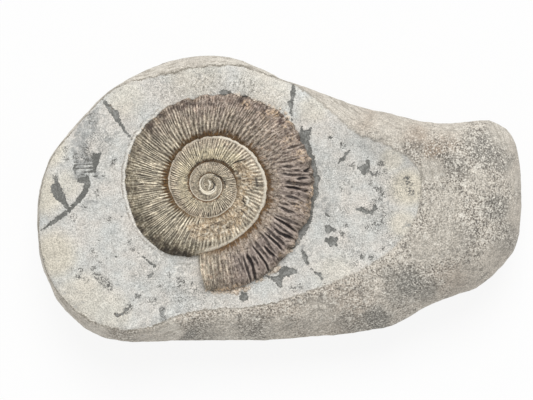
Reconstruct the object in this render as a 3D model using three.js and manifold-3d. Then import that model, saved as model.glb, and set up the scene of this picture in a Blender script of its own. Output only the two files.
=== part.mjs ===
// An ammonite still seated in its limestone nodule, lying on the nodule's worn underside.
// Two pieces: the stone, its face dressed back round the fossil, and the coiled shell in its socket.
// Millimetres. X runs along the nodule towards its knob, Y across it, Z up out of the prepared face.
import * as THREE from "three";
import { LoftGeometry } from "three/addons/geometries/LoftGeometry.js";
import { mergeVertices } from "three/addons/utils/BufferGeometryUtils.js";
import Module from "manifold-3d";

const wasm = await Module();
wasm.setup();

const TURN = 2 * Math.PI;

// ---------- the stone's driving sizes ----------
const SPOKES = 72; // points round every level of the stone
const CROWDING = 0.2; // how much the spokes gather towards the stone's two far ends
const BELLY_Z = 18; // height of the widest level
const FACE_Z = 33.5; // height of the prepared face at the shell's centre
const FACE_FALL = new THREE.Vector2(-0.035, 0.012); // rise of the face per mm along X and Y
const BASE_SHARE = 0.58; // reach of the flat underside, as a share of the outline's
// the raised lobe
const KNOB = { x: 68, y: -1, height: 11, reachX: 25, reachY: 29, flatness: 1.5, foot: 14, bulge: 0.6 };
const KNOB_SIDE = { from: 0.35, to: 0.9 }; // cosines of the directions where body turns to lobe
const NECK = { from: [60, 30], to: [49, 18], depth: 3.6, reach: 5.5 }; // the hollow between lobe and body
const LIP = 0.6; // how far the weathered rind stands above the prepared face
const LIP_RUN = 1.2; // width of that small step
const DISH = { rise: 2.4, run: 8 }; // the face curls up to the rind on the knob side
const SHOULDER = { drop: 5, run: 9 }; // the stone rounds over towards its rim
const LEAST_RIND = 0.9; // the rind is at least this wide outside the face
const CROWN_STEPS = 8; // levels from the belly up to the edge of the face
const FLANK_STEPS = 5; // levels from the underside up to the belly
const FACE_RINGS = [1, 0.95, 0.88, 0.78, 0.64, 0.42, 0.2]; // levels across the face, as shares of its reach
const OUTLINE_CHORDS = 480; // short chords that stand for each smooth outline

// The nodule from above, from the middle of the knob side round over the far side.
const STONE_OUTLINE = [
  [87.3, 0], [87.1, 9], [85.8, 18], [82.4, 24.7], [78, 27.4], [71.5, 28.6], [63.2, 27.7], [56.6, 26.2],
  [45.4, 29.6], [34.6, 32.2], [21, 36.4], [12.8, 39.2], [4.4, 42], [-4.9, 46.2], [-12.4, 49.5],
  [-25.5, 51.8], [-39, 49.9], [-50.5, 45.5], [-64, 36.8], [-75.4, 24.4], [-81.8, 16], [-85, 8],
  [-86.8, -1], [-87.1, -10], [-86.4, -19.5], [-84, -28], [-80.4, -36.6], [-74.2, -43.6], [-67, -49],
  [-57, -51.6], [-40, -51.9], [-7, -51.2], [27, -48.9], [41.4, -46], [47, -42.8], [53.4, -39.2],
  [62, -36], [71.8, -32.2], [80, -25.5], [85.2, -18], [87, -9],
];

// The edge of the prepared face, from the same side and the same way round.
const FACE_OUTLINE = [
  [50.2, 1], [49.6, 10.4], [42.5, 16.9], [33.8, 20.7], [26.6, 23.8], [16.2, 32.8], [5.2, 41], [-6, 44.8],
  [-15, 47.4], [-30, 46.4], [-43.2, 43.4], [-56.2, 40.8], [-63.2, 35.8], [-75.2, 22.8], [-82.4, 12.4],
  [-85.8, -1], [-85, -18.6], [-81.2, -29.2], [-73.4, -38.6], [-62.6, -45], [-48, -45.8], [-30, -39.8],
  [-6, -37.8], [16.2, -30.6], [29.5, -24.8], [40.3, -17.6], [47.6, -8],
];

// ---------- the shell's driving sizes ----------
const COIL = new THREE.Vector2(-25, 5); // the coil's axis
const COIL_Z = FACE_Z - 1; // height of the coil's own mid-plane
const SEAM_RADIUS = 21.2; // outer edge of the second whorl, on the side towards the knob
const WHORL_GROWTH = 2.05; // how much that radius grows in one turn
const SHELL_THICKNESS = 12; // across the last whorl
const SOCKET_GAP = 0.3; // clearance of the shell in its socket
const CLEARING = { radius: 24, height: 10, sides: 40 }; // the matrix taken off above the inner whorls
const WHORL_BITE = 0.13; // how far each whorl laps the one inside it, as a share of its width
const CORE = 2.6; // turns inside the knob side where the coil begins
const MOUTH = -1.27; // turns past the knob side where it ends, at the broken mouth
const BREAK = { turns: 0.017, run: 0.12 }; // turns by which the mouth's outer corner is broken back
const SQUARENESS = 0.85; // exponent of the whorl's section: below 1 the oval turns boxier
const YOUNG_THICKNESS = { ofWidth: 0.3, ofRadius: 0.085 }; // half the thickness of the inner whorls
const FIRST_CHAMBER = { size: 0.9, flatness: 0.8 }; // shares of the coil's radius and of its own

// How finely the coil is cut into sections.
const STRETCH = 0.5; // turns in one stretch
const LAP = 0.004; // turns that neighbouring stretches share
const STEPS_PER_TURN = { young: 14, grown: 32, youngRadius: 4, grownRadius: 34 };
const SIDES = { small: 8, large: 12, fromRadius: 9 }; // corners of a section

// The last whorl is worn and half buried. Its edge is given every twelfth of a turn from the knob side.
const LAST_EDGE = [
  21.2, 21.4, 21.8, 23.9, 28.8, 29.5, 30.4, 31.6, 31.2, 31.7, 34.7, 35.9, 36.3, 36.5, 38.1, 37.6, 36,
];

// ---------- small helpers ----------
const mix = THREE.MathUtils.lerp;
const smooth = THREE.MathUtils.smoothstep;

// A closed smooth curve through the given points, as many short chords.
function closedCurve(points) {
  const knots = points.map(([x, y]) => new THREE.Vector3(x, y, 0));
  return new THREE.CatmullRomCurve3(knots, true, "centripetal").getSpacedPoints(OUTLINE_CHORDS);
}

// How far a ray from the stone's middle reaches before it leaves a closed curve.
function reach(curve, angle) {
  const dx = Math.cos(angle);
  const dy = Math.sin(angle);
  let far = 0;
  for (let i = 1; i < curve.length; i++) {
    const a = curve[i - 1];
    const b = curve[i];
    const sideA = dx * a.y - dy * a.x;
    const sideB = dx * b.y - dy * b.x;
    if (sideA * sideB > 0 || sideA === sideB) continue;
    const share = sideA / (sideA - sideB);
    far = Math.max(far, mix(a.x, b.x, share) * dx + mix(a.y, b.y, share) * dy);
  }
  return far;
}

// A three.js geometry as a manifold-3d solid. Triangles that shrink to nothing at a pole are left out.
function solid(geometry) {
  const bare = new THREE.BufferGeometry();
  bare.setAttribute("position", geometry.getAttribute("position"));
  bare.setIndex(geometry.index);
  const merged = mergeVertices(bare, 1e-3);
  const corners = merged.index.array;
  const kept = [];
  for (let i = 0; i < corners.length; i += 3) {
    const [a, b, c] = corners.slice(i, i + 3);
    if (a !== b && b !== c && c !== a) kept.push(a, b, c);
  }
  const vertProperties = merged.getAttribute("position").array;
  return new wasm.Manifold(new wasm.Mesh({ numProp: 3, vertProperties, triVerts: new Uint32Array(kept) }));
}

// A loft through the sections, closed at both ends by a fan to the middle of its end section.
function closedLoft(sections) {
  const tip = (section) => {
    const centre = section.reduce((sum, point) => sum.add(point), new THREE.Vector3());
    centre.divideScalar(section.length);
    return section.map(() => centre);
  };
  return new LoftGeometry([tip(sections[0]), ...sections, tip(sections.at(-1))]);
}

// A manifold-3d solid as a three.js geometry.
function geometryOf(body) {
  const mesh = body.getMesh();
  const geometry = new THREE.BufferGeometry();
  geometry.setAttribute("position", new THREE.BufferAttribute(mesh.vertProperties, 3));
  geometry.setIndex(new THREE.BufferAttribute(mesh.triVerts, 1));
  geometry.computeVertexNormals();
  return geometry;
}

// ---------- the stone ----------
// The flat of the prepared face: a plane that falls gently towards the knob.
function faceHeight(x, y) {
  return FACE_Z + (x - COIL.x) * FACE_FALL.x + (y - COIL.y) * FACE_FALL.y;
}

// What the knob adds to the weathered crown, and what the neck beside it takes away.
function knobHeight(x, y) {
  const across = ((x - KNOB.x) / KNOB.reachX) ** 2 + ((y - KNOB.y) / KNOB.reachY) ** 2;
  const from = new THREE.Vector3(...NECK.from, 0);
  const to = new THREE.Vector3(...NECK.to, 0);
  const point = new THREE.Vector3(x, y, 0);
  const nearest = new THREE.Line3(from, to).closestPointToPoint(point, true, new THREE.Vector3());
  const hollow = NECK.depth * Math.exp(-((nearest.distanceTo(point) / NECK.reach) ** 2));
  return KNOB.height * Math.exp(-(across ** KNOB.flatness)) - hollow;
}

// One spoke of the stone, from the rim of its flat underside over belly and crown to the face's middle.
function spoke(angle, stoneCurve, faceCurve) {
  const rim = reach(stoneCurve, angle);
  const edge = Math.min(reach(faceCurve, angle), rim - LEAST_RIND);
  const knobSide = smooth(Math.cos(angle), KNOB_SIDE.from, KNOB_SIDE.to);
  const curl = DISH.rise * knobSide;
  const points = [];
  const put = (radius, height) => {
    const x = radius * Math.cos(angle);
    const y = radius * Math.sin(angle);
    points.push(new THREE.Vector3(x, y, height(x, y)));
  };
  const shoulder = (radius) => SHOULDER.drop * (1 - Math.min((rim - radius) / SHOULDER.run, 1)) ** 2;

  // the flank, a quarter ellipse from the flat underside up to the belly
  for (let i = 0; i < FLANK_STEPS; i++) {
    const rise = ((i / FLANK_STEPS) * TURN) / 4;
    put(rim * mix(BASE_SHARE, 1, Math.sin(rise)), () => BELLY_Z * (1 - Math.cos(rise)));
  }

  // the weathered crown, a quarter ellipse from the belly to the edge of the face, fuller at the knob
  for (let i = 0; i <= CROWN_STEPS; i++) {
    const rise = ((i / CROWN_STEPS) * TURN) / 4;
    const radius = mix(rim, edge, 1 - Math.cos(rise));
    const lift = LIP + curl - shoulder(radius);
    const clear = smooth(radius - edge, 0, KNOB.foot); // the lobe and its neck stay clear of the face
    const top = (x, y) => faceHeight(x, y) + lift + clear * knobHeight(x, y);
    const climb = Math.sin(rise) ** mix(1, KNOB.bulge, knobSide);
    put(radius, (x, y) => mix(BELLY_Z, top(x, y), climb));
  }

  // the step down to the face, then the face itself, which curls up towards the knob
  const inner = edge - LIP_RUN;
  for (const share of FACE_RINGS) {
    const radius = inner * share;
    const lift = curl * (1 - smooth(edge - radius, 0, DISH.run));
    put(radius, (x, y) => faceHeight(x, y) + lift - shoulder(radius));
  }
  return points;
}

// The whole nodule before the shell's socket is cut, lofted level by level from its underside to its face.
function noduleGeometry() {
  const stoneCurve = closedCurve(STONE_OUTLINE);
  const faceCurve = closedCurve(FACE_OUTLINE);
  const spokes = [];
  for (let i = 0; i < SPOKES; i++) {
    const even = (i / SPOKES) * TURN;
    spokes.push(spoke(even - CROWDING * Math.sin(2 * even), stoneCurve, faceCurve));
  }
  const levels = spokes[0].map((_, level) => spokes.map((points) => points[level]));
  return closedLoft(levels);
}

// ---------- the shell ----------
// The outer edge's radius, in turns inwards from the knob side: a log spiral, then the worn last whorl.
const lastEdge = new THREE.SplineCurve(LAST_EDGE.map((radius, i) => new THREE.Vector2(i / 12, radius)));

function edgeRadius(turns) {
  if (turns > 0) return SEAM_RADIUS * WHORL_GROWTH ** -turns;
  return lastEdge.getPoint((-turns * 12) / (LAST_EDGE.length - 1)).y;
}

// One cross-section of the whorl: a rounded oval between its own edge and the whorl inside it.
function whorlSection(turns, sides, gap) {
  const outer = edgeRadius(turns);
  const width = outer - edgeRadius(turns + 1);
  const halfWide = (width * (1 + WHORL_BITE)) / 2;
  const youngThick = YOUNG_THICKNESS.ofWidth * width + YOUNG_THICKNESS.ofRadius * outer;
  const halfThick = Math.min(SHELL_THICKNESS / 2, youngThick);
  const broken = BREAK.turns * smooth(MOUTH + BREAK.run - turns, 0, BREAK.run);
  const squared = (wave) => Math.sign(wave) * Math.abs(wave) ** SQUARENESS;
  const section = [];
  for (let i = 0; i < sides; i++) {
    const round = (i / sides) * TURN;
    const across = squared(Math.cos(round));
    const angle = (turns + (broken * (across + 1)) / 2) * TURN;
    const radius = outer - halfWide + (halfWide + gap) * across;
    const z = (halfThick + gap) * squared(Math.sin(round));
    section.push(new THREE.Vector3(radius * Math.cos(angle), radius * Math.sin(angle), z));
  }
  return section;
}

// A stretch of the coil between two counts of turns, as one closed solid.
function coilStretch(from, to, steps, sides, gap) {
  const sections = [];
  for (let i = 0; i <= steps; i++) sections.push(whorlSection(mix(from, to, i / steps), sides, gap));
  return solid(closedLoft(sections));
}

// The whole coil, joined from stretches that share their end faces. gap swells it for the socket.
function coil(gap) {
  const mouth = MOUTH - gap / (TURN * edgeRadius(MOUTH));
  let turns = CORE;
  let whole = null;
  while (turns > mouth) {
    const next = Math.max(turns - STRETCH, mouth);
    const outer = edgeRadius(next);
    const grown = smooth(outer, STEPS_PER_TURN.youngRadius, STEPS_PER_TURN.grownRadius);
    const steps = Math.ceil((turns - next) * mix(STEPS_PER_TURN.young, STEPS_PER_TURN.grown, grown));
    const sides = outer > SIDES.fromRadius ? SIDES.large : SIDES.small;
    const piece = coilStretch(turns + LAP, next, steps, sides, gap);
    whole = whole ? whole.add(piece) : piece;
    turns = next;
  }
  const chamberRadius = edgeRadius(CORE) * FIRST_CHAMBER.size + gap;
  const chamber = new THREE.SphereGeometry(chamberRadius, SIDES.large, SIDES.small);
  chamber.scale(1, 1, FIRST_CHAMBER.flatness);
  whole = whole.add(solid(chamber));
  return whole.translate(COIL.x, COIL.y, COIL_Z);
}

// What is cut from the stone: the coil's own socket, and the matrix cleared off the top of its inner whorls.
function socketCutter() {
  const { radius, height, sides } = CLEARING;
  const clearing = new THREE.CylinderGeometry(radius, radius, height, sides);
  clearing.rotateX(TURN / 4);
  clearing.translate(COIL.x, COIL.y, COIL_Z + height / 2);
  return coil(SOCKET_GAP).add(solid(clearing));
}

// ---------- the finished pieces ----------
function piece(name, geometry, colour, roughness) {
  const material = new THREE.MeshStandardMaterial({ color: colour, roughness, metalness: 0 });
  const mesh = new THREE.Mesh(geometry, material);
  mesh.name = name;
  return mesh;
}

const socketedStone = solid(noduleGeometry()).subtract(socketCutter());
const specimen = new THREE.Group();
specimen.add(piece("nodule", geometryOf(socketedStone), 0xbdb7a8, 0.9));
specimen.add(piece("ammonite", geometryOf(coil(0)), 0x8c7c68, 0.75));

// the origin is under the middle of the nodule's box, on the surface it rests on
const box = new THREE.Box3().setFromObject(specimen);
const middle = box.getCenter(new THREE.Vector3());
specimen.position.set(-middle.x, -middle.y, -box.min.z);

export default specimen;
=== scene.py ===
import math

import bmesh
import bpy
import numpy as np
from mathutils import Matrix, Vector, noise


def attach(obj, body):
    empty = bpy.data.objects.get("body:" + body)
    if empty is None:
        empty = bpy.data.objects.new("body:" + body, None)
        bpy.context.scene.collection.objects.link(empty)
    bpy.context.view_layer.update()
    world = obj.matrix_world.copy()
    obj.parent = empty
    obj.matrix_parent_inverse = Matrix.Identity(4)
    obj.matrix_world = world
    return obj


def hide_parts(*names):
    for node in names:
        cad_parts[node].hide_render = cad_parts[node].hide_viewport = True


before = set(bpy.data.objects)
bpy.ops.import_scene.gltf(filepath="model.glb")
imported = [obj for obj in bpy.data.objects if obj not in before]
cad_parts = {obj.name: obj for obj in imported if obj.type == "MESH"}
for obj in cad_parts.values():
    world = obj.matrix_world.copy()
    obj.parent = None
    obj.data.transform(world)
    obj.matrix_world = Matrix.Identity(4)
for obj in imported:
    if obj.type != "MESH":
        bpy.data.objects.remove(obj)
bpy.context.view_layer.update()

mm = 0.001


def linear(hexText):
    # sRGB hex to the linear colour that shaders work in
    channels = [int(hexText[i:i + 2], 16) / 255 for i in (1, 3, 5)]
    return [c / 12.92 if c <= 0.04045 else ((c + 0.055) / 1.055) ** 2.4 for c in channels] + [1.0]


def addNode(tree, kind, settings=None, links=None):
    node = tree.nodes.new(kind)
    for name, value in (settings or {}).items():
        if isinstance(name, str) and hasattr(node, name):
            setattr(node, name, value)
        else:
            node.inputs[name].default_value = value
    for name, source in (links or {}).items():
        tree.links.new(source, node.inputs[name])
    return node


def ease(values, low, high):
    # 0 below low, 1 above high, smooth between
    share = np.clip((values - low) / (high - low), 0, 1)
    return share * share * (3 - 2 * share)


def lumps(points, size, seed, octaves=2):
    # smooth noise from about -1 to 1, with lumps of that size in mm; points are in mm
    shift = Vector((seed * 17.3, seed * -9.1, seed * 5.7))
    return np.array([noise.fractal(Vector(p) / size + shift, 1.0, 2.0, octaves) for p in points])


def closedCurve(corners, steps=10):
    # a smooth closed line through the corners
    knots = np.array(corners, float)
    share = np.linspace(0, 1, steps, endpoint=False)[:, None]
    before, after, beyond = (np.roll(knots, -k, 0) for k in (-1, 1, 2))
    stretches = [
        0.5 * (2 * b + (c - a) * share + (2 * a - 5 * b + 4 * c - d) * share ** 2
               + (3 * b - a - 3 * c + d) * share ** 3)
        for a, b, c, d in zip(before, knots, after, beyond)
    ]
    return np.concatenate(stretches)


def outsideBy(points, outline):
    # distance from a closed outline in its own units, negative inside it
    starts, ends = outline, np.roll(outline, -1, 0)
    nearest = np.full(len(points), 1e9)
    inside = np.zeros(len(points), bool)
    x, y = points[:, 0], points[:, 1]
    for (ax, ay), (bx, by) in zip(starts, ends):
        dx, dy = bx - ax, by - ay
        share = np.clip(((x - ax) * dx + (y - ay) * dy) / (dx * dx + dy * dy + 1e-12), 0, 1)
        nearest = np.minimum(nearest, np.hypot(x - ax - share * dx, y - ay - share * dy))
        if ay != by:
            crosses = ((ay > y) != (by > y)) & (x < ax + (y - ay) * dx / dy)
            inside ^= crosses
    return np.where(inside, -nearest, nearest)


def soft(points, discs):
    # 1 in the middle of the discs (x, y, radius, strength), fading to 0 past their edges
    field = np.zeros(len(points))
    for x, y, radius, strength in discs:
        reach = np.hypot(points[:, 0] - x, points[:, 1] - y) / radius
        field = np.maximum(field, strength * (1 - ease(reach, 0.45, 1.15)))
    return field


def offLine(points, line, halfWidth):
    # distance outside a thin line that narrows towards both ends
    nearest = np.full(len(points), 1e9)
    share = np.linspace(0, 1, 40)
    spans = np.linspace(0, 1, len(line))
    for t in share:
        x, y = np.interp(t, spans, [p[0] for p in line]), np.interp(t, spans, [p[1] for p in line])
        width = halfWidth * math.sin(math.pi * (0.1 + 0.8 * t))
        nearest = np.minimum(nearest, np.hypot(points[:, 0] - x, points[:, 1] - y) - width)
    return nearest


def storeField(mesh, name, values):
    layer = mesh.attributes.get(name) or mesh.attributes.new(name, "FLOAT", "POINT")
    layer.data.foreach_set("value", np.asarray(values, np.float32))


def readPlaces(mesh):
    places = np.zeros(len(mesh.vertices) * 3)
    mesh.vertices.foreach_get("co", places)
    return places.reshape(-1, 3) / mm


def readNormals(mesh):
    normals = np.zeros(len(mesh.vertices) * 3)
    mesh.vertex_normals.foreach_get("vector", normals)
    return normals.reshape(-1, 3)


def writePlaces(mesh, places):
    mesh.vertices.foreach_set("co", (places * mm).ravel())
    mesh.update()


def newPiece(name, mesh, material, node):
    piece = bpy.data.objects.new(name, mesh)
    bpy.context.scene.collection.objects.link(piece)
    mesh.materials.clear()
    mesh.materials.append(material)
    mesh.shade_smooth()
    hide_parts(node)
    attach(piece, "root")
    return piece


# ---- the coil that both pieces share, in mm

coil = {
    "x": -25.0,
    "y": 5.0,
    "z": 32.5,  # height of its mid-plane
    "seamRadius": 21.2,  # outer edge of the second whorl, towards the lobe
    "growth": 2.05,  # how much that grows in a turn
    "thickness": 12.0,  # across the last whorl
    "bite": 0.08,  # how far a whorl laps the one inside it, as a share of its width
    # outer edge of the last, worn whorl, and where that is in twelfths of a turn back from the lobe side
    "edgeAt": [0, 1, 2, 3, 4, 5, 6, 7, 8, 9, 10, 10.5, 11, 12, 13, 14, 15, 16],
    "lastEdge": [21.2, 21.4, 21.8, 23.9, 28.8, 29.5, 29.4, 31.1, 31.2, 31.7, 34.8, 36.8, 36.5, 37.4, 36.5,
                 38.1, 37.6, 36.0],
    "mouth": -1.27,  # turns past the lobe side, where the shell is broken off
    "mouthLean": 0.017,  # turns by which its outer corner is broken back
}


def edgeRadius(turns):
    # outer radius of the whorl; turns are counted inwards from the lobe side
    turns = np.asarray(turns, float)
    spiral = coil["seamRadius"] * coil["growth"] ** -np.maximum(turns, 0)
    worn = sum(np.interp(-turns * 12 + shift, coil["edgeAt"], coil["lastEdge"]) for shift in (-0.3, 0, 0.3)) / 3
    return np.where(turns > 0, spiral, worn)


def raggedRim(angle):
    # how far the broken rim strays, in mm, by direction: most along the top and the right
    ring = np.stack([30 * np.cos(angle), 30 * np.sin(angle), np.zeros(len(angle))], 1)
    broken = 0.35 + 0.65 * ease(np.cos(angle - 0.9), -0.6, 0.5)
    return broken * (0.9 * lumps(ring, 3.6, 21, 2) + 0.5 * lumps(ring, 1.3, 22, 1))


def outsideShell(points, spare=0.0):
    # mm outside the shell's edge, and the edge's radius there; spare widens the mouth by so many turns
    radius = np.hypot(points[:, 0] - coil["x"], points[:, 1] - coil["y"])
    angle = np.arctan2(points[:, 1] - coil["y"], points[:, 0] - coil["x"]) / (2 * math.pi)
    mouth = coil["mouth"] + coil["mouthLean"] * ease(radius, 25, 36) - spare
    turns = angle - np.ceil(angle - mouth - 1)  # of the outermost whorl in that direction
    edge = edgeRadius(turns) + raggedRim(angle * 2 * math.pi)
    return radius - edge, edge


def faceHeight(points):
    fallX, fallY = stone["faceFall"]
    return stone["faceHeight"] + fallX * (points[:, 0] - coil["x"]) + fallY * (points[:, 1] - coil["y"])


# ---- the nodule

stone = {
    "voxel": 0.9,  # mm, grid of the remesh
    "smoothing": 14,  # passes that melt the facets
    "faceHeight": 33.5,  # mm, the dressed face at the middle of the coil
    "faceFall": (-0.035, 0.012),  # mm per mm along X and Y
    "faceEdge": [  # where the dressed face meets the rind, mm from the stone's middle
        (50.2, 1), (49.6, 10.4), (42.5, 16.9), (33.8, 20.7), (26.6, 23.8), (16.2, 32.8), (5.2, 41), (-6, 44.8),
        (-15, 47.4), (-30, 46.4), (-43.2, 43.4), (-56.2, 40.8), (-63.2, 35.8), (-75.2, 22.8), (-82.4, 12.4),
        (-85.8, -1), (-85, -18.6), (-81.2, -29.2), (-73.4, -38.6), (-62.6, -45), (-48, -45.8), (-30, -39.8),
        (-6, -37.8), (16.2, -30.6), (29.5, -24.8), (40.3, -17.6), (47.6, -8)],
    "lip": 0.35,  # mm, step from the face up to the rind
    "chipDepth": 0.3,  # mm, where the dressed skin has flaked away
    "rindLumps": 0.3,  # mm
    "rindPits": 0.1,  # mm
    "collar": 0.3,  # mm, the matrix left standing along the shell's left side
    "recess": 2.2,  # mm, how deep the matrix is cut along the shell
    # mm that the flank is drawn in, by direction from the stone's middle in degrees
    "drawnAt": [0, 12, 18, 24, 30, 48, 72, 84, 90, 96, 120, 132, 138, 150, 162, 168, 174, 186, 192, 198, 210, 222, 240,
                258, 264, 282, 306, 312, 330, 336, 342, 348, 354, 360],
    "drawnIn": [0.1, -0.2, -0.6, -0.5, 0, 0.5, 0.4, 0.4, 0.9, 0.4, 0.1, 0.4, 0.6, 0.9, 1.1, 0.7, 1, 1, 0.8, 0.9, 0.6, 0.3,
                0.7, 0.5, 0, 0.3, 0.4, 0, 0.6, 0.3, 0.5, -0.1, -0.1, 0.1],
}

# flakes out of the dressed skin: outlines in mm from the stone's middle
chips = {
    "leftCrack": [(-63.1, 35.9), (-60, 33.7), (-58.6, 31.6), (-56.9, 30.9), (-56.7, 28.2), (-55.2, 25.7), (-53.5, 23.3),
                  (-54.2, 23), (-56.6, 26.1), (-58.3, 28.2), (-60.4, 30.9), (-62.1, 33.7)],
    "wedge": [(-63.1, 16.4), (-65.9, 16.1), (-66.6, 13.7), (-72.8, 13), (-73.1, 10.4), (-69, 9.2), (-65.2, 9.2),
              (-64, 13)],
    "hook": [(-71.7, 7.4), (-67.2, 7.8), (-66.9, 6.1), (-67.6, 2.7), (-69.7, -0.1), (-72.1, -2.5), (-75.2, -5.6),
             (-79.3, -8.4), (-85.5, -11.7), (-80.7, -7.7), (-76.2, -4.6), (-72.8, -1.5), (-70, 2.3), (-69, 5.4),
             (-71.4, 6.1)],
    "thumb": [(-79.3, 8.5), (-78.3, 6.1), (-76.5, 2.7), (-75.2, -0.8), (-74.1, -3.5), (-74.8, -4.2), (-77.2, -1.5),
              (-79.6, 0.2), (-81, 2.7), (-81, 5.4), (-80, 5.4)],
    "rightCrack": [(4.6, 41.9), (5.7, 41.1), (5.7, 37.8), (5.3, 35.8), (4.8, 33.6), (4.2, 31.4), (4.6, 28.1),
                   (3.8, 30.6), (3.8, 32.5), (3, 34), (3.8, 35.1), (4.5, 36.9), (4.1, 38.3), (4.8, 39.7)],
    "flank": [(8.1, 25.8), (8.6, 24.4), (10.2, 24.5), (11.4, 25.6), (11.1, 23.2), (10.6, 20.4), (11.3, 18.2),
              (11.8, 16), (12.9, 14.5), (12.5, 13.8), (13.3, 11.6), (13.7, 9.1), (14.6, 7.4), (13.9, 5), (13.9, 1),
              (12.6, -0.9), (12.1, -4.2), (11.4, -8.1), (10.2, -10.8), (8.7, -12.9), (6.9, -16.2), (4.5, -18),
              (2, -20.5), (-2, -22), (4, 0), (4, 20), (7, 22)],
    "slash": [(25.7, 18.1), (24.2, 16), (23.4, 14.1), (22.3, 13.2), (21.1, 12.7), (20.9, 13.2), (21.4, 14.3),
              (22.7, 15.2), (23.5, 16.8), (24.2, 16.6)],
    "bird": [(31.8, 14.9), (32.2, 13.8), (32.3, 11.6), (31.9, 9.7), (30.8, 8.8), (29.7, 7.9), (29.4, 9.1), (28.6, 10.3),
             (27.6, 10.5), (27.5, 11.2), (28.6, 11.3), (30, 12.1), (31, 12.4), (30.8, 13.5), (31.4, 14.1)],
    "fish": [(16.2, -9.6), (17.7, -9.6), (20.6, -11.1), (20.3, -11.5), (18.9, -11.4), (17.2, -12.3), (16.5, -11.7)],
    "crab": [(15.9, -13.6), (17.4, -14.2), (18.7, -13.5), (20, -13.8), (20.6, -12.9), (21.1, -14.4), (20.6, -15.3),
             (20.8, -16.8), (20, -16.8), (19, -16.2), (18.2, -17.1), (17.6, -15.9), (16.5, -15)],
    "leaf": [(8, -17.7), (9, -18.3), (9.9, -20), (10.3, -22.1), (10.9, -24.2), (9.9, -23.3), (8.7, -21.8), (8.2, -20.3),
             (7.8, -18.8)],
    "stalk": [(12.3, -25.7), (14.4, -26), (14.7, -26.9), (15.9, -29), (15.3, -29), (13.8, -27.2), (13, -26.8)],
    "island": [(-0.3, -25.4), (1.2, -24.2), (2.7, -23.9), (3.9, -24.5), (5.7, -24.8), (6.5, -25.9), (6.3, -26.6),
               (4.8, -26.6), (3, -28), (2.4, -26.9), (1.7, -27.8), (0.8, -29.9), (1.5, -31.4), (0.3, -31.5),
               (-1.4, -29.9), (-3.2, -28.4), (-5, -27.2), (-0.9, -27.8), (0, -26.9)],
    "toe": [(-13.4, -33.1), (-11.5, -33.4), (-10.8, -36), (-13, -36.4), (-14.5, -35)],
    "dart": [(-46.6, -21.8), (-45.7, -22.4), (-43.9, -23.5), (-43.5, -24.2), (-44.6, -24.4), (-46.1, -22.8)],
    "tick": [(-46.8, -27.2), (-44.4, -26.3), (-45, -27.4), (-46.3, -28.3)],
    "boat": [(-58.6, -40.4), (-57.1, -40.8), (-55.6, -40.4), (-54.5, -38.9), (-52.5, -37.8), (-52.3, -38.6),
             (-54.2, -40), (-56, -41.5), (-57.5, -42), (-58.6, -41.1)],
    "plateTop": [(-21, 38), (-19.6, 38.8), (-16.8, 38), (-16.4, 36.6), (-18, 35.6), (-21, 36)],
    "plateTopRight": [(-13.5, 36.8), (-12, 37), (-9.9, 34.8), (-10.4, 33.4), (-13.2, 34.6)],
    "crescent": [(26.9, -3.5), (29.9, -3), (31, -4.2), (32.3, -4.6), (33.4, -3.4), (34.1, -1.2), (34.8, -3.6),
                 (32.6, -5.5), (30.2, -5), (28.4, -4.5)],
}

# hairline cracks: points and half the width, in mm
cracks = [
    ([(-56.5, 28.5), (-54.8, 24.8), (-52.4, 21.4), (-50.6, 19.4)], 0.22),
    ([(4.4, 32), (4.6, 28), (4.3, 25.5)], 0.16),
    ([(-50.6, -18.6), (-47.8, -21), (-45.6, -22.8)], 0.16),
    ([(10.6, -23.6), (12.3, -26), (13.6, -26.6)], 0.16),
    ([(14.4, -26.8), (15.9, -29.4), (16.6, -30.4)], 0.14),
    ([(-72.6, 9.2), (-67, 7.9), (-61.5, 8.2)], 0.14),
    ([(-52.6, -37.9), (-50.6, -34.4), (-49.9, -34)], 0.13),
    ([(-60.6, 7), (-59.6, 5.4)], 0.2),
    ([(5.2, 40.5), (4.9, 36), (4.4, 32)], 0.2),
]

# thin slivers of dressed skin left standing in the wedge
slivers = [
    ([(-72.8, 12.5), (-69.8, 12.7), (-65.8, 12.9)], 0.5),
    ([(-72.4, 11.3), (-69.4, 11.5), (-65.8, 11.7)], 0.5),
    ([(-72, 10.2), (-69.4, 10.2), (-66, 10.4)], 0.5),
]

# small flakes: x, y, radius in mm
flecks = [
    (32.7, 9.2, 0.5), (34.7, 9.4, 0.4), (45.2, 7.4, 0.5), (18, 21.8, 0.35), (23.1, 18.7, 0.4), (22, 19.4, 0.35),
    (25.4, 11.8, 0.5), (17.2, -5.8, 0.6), (22.3, -12.4, 0.5), (23.8, -9.1, 0.4), (36.5, -8.1, 0.4), (33.8, -8.6, 0.35),
    (29.1, -20.3, 0.45), (32.6, -20.6, 0.5), (-50.1, -34.3, 0.3), (-58.6, 13.4, 0.35), (-59.4, 12.3, 0.3),
    (-56.3, -6, 0.35), (-35.2, -30.8, 0.4), (-33.8, -29.6, 0.35), (-31, -30, 0.4), (-29.4, -32, 0.3),
    (-63.8, -14.6, 0.3), (-58.2, -20.4, 0.3), (-55.2, 24.4, 0.35), (19.2, 31.4, 0.5),
]

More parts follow.
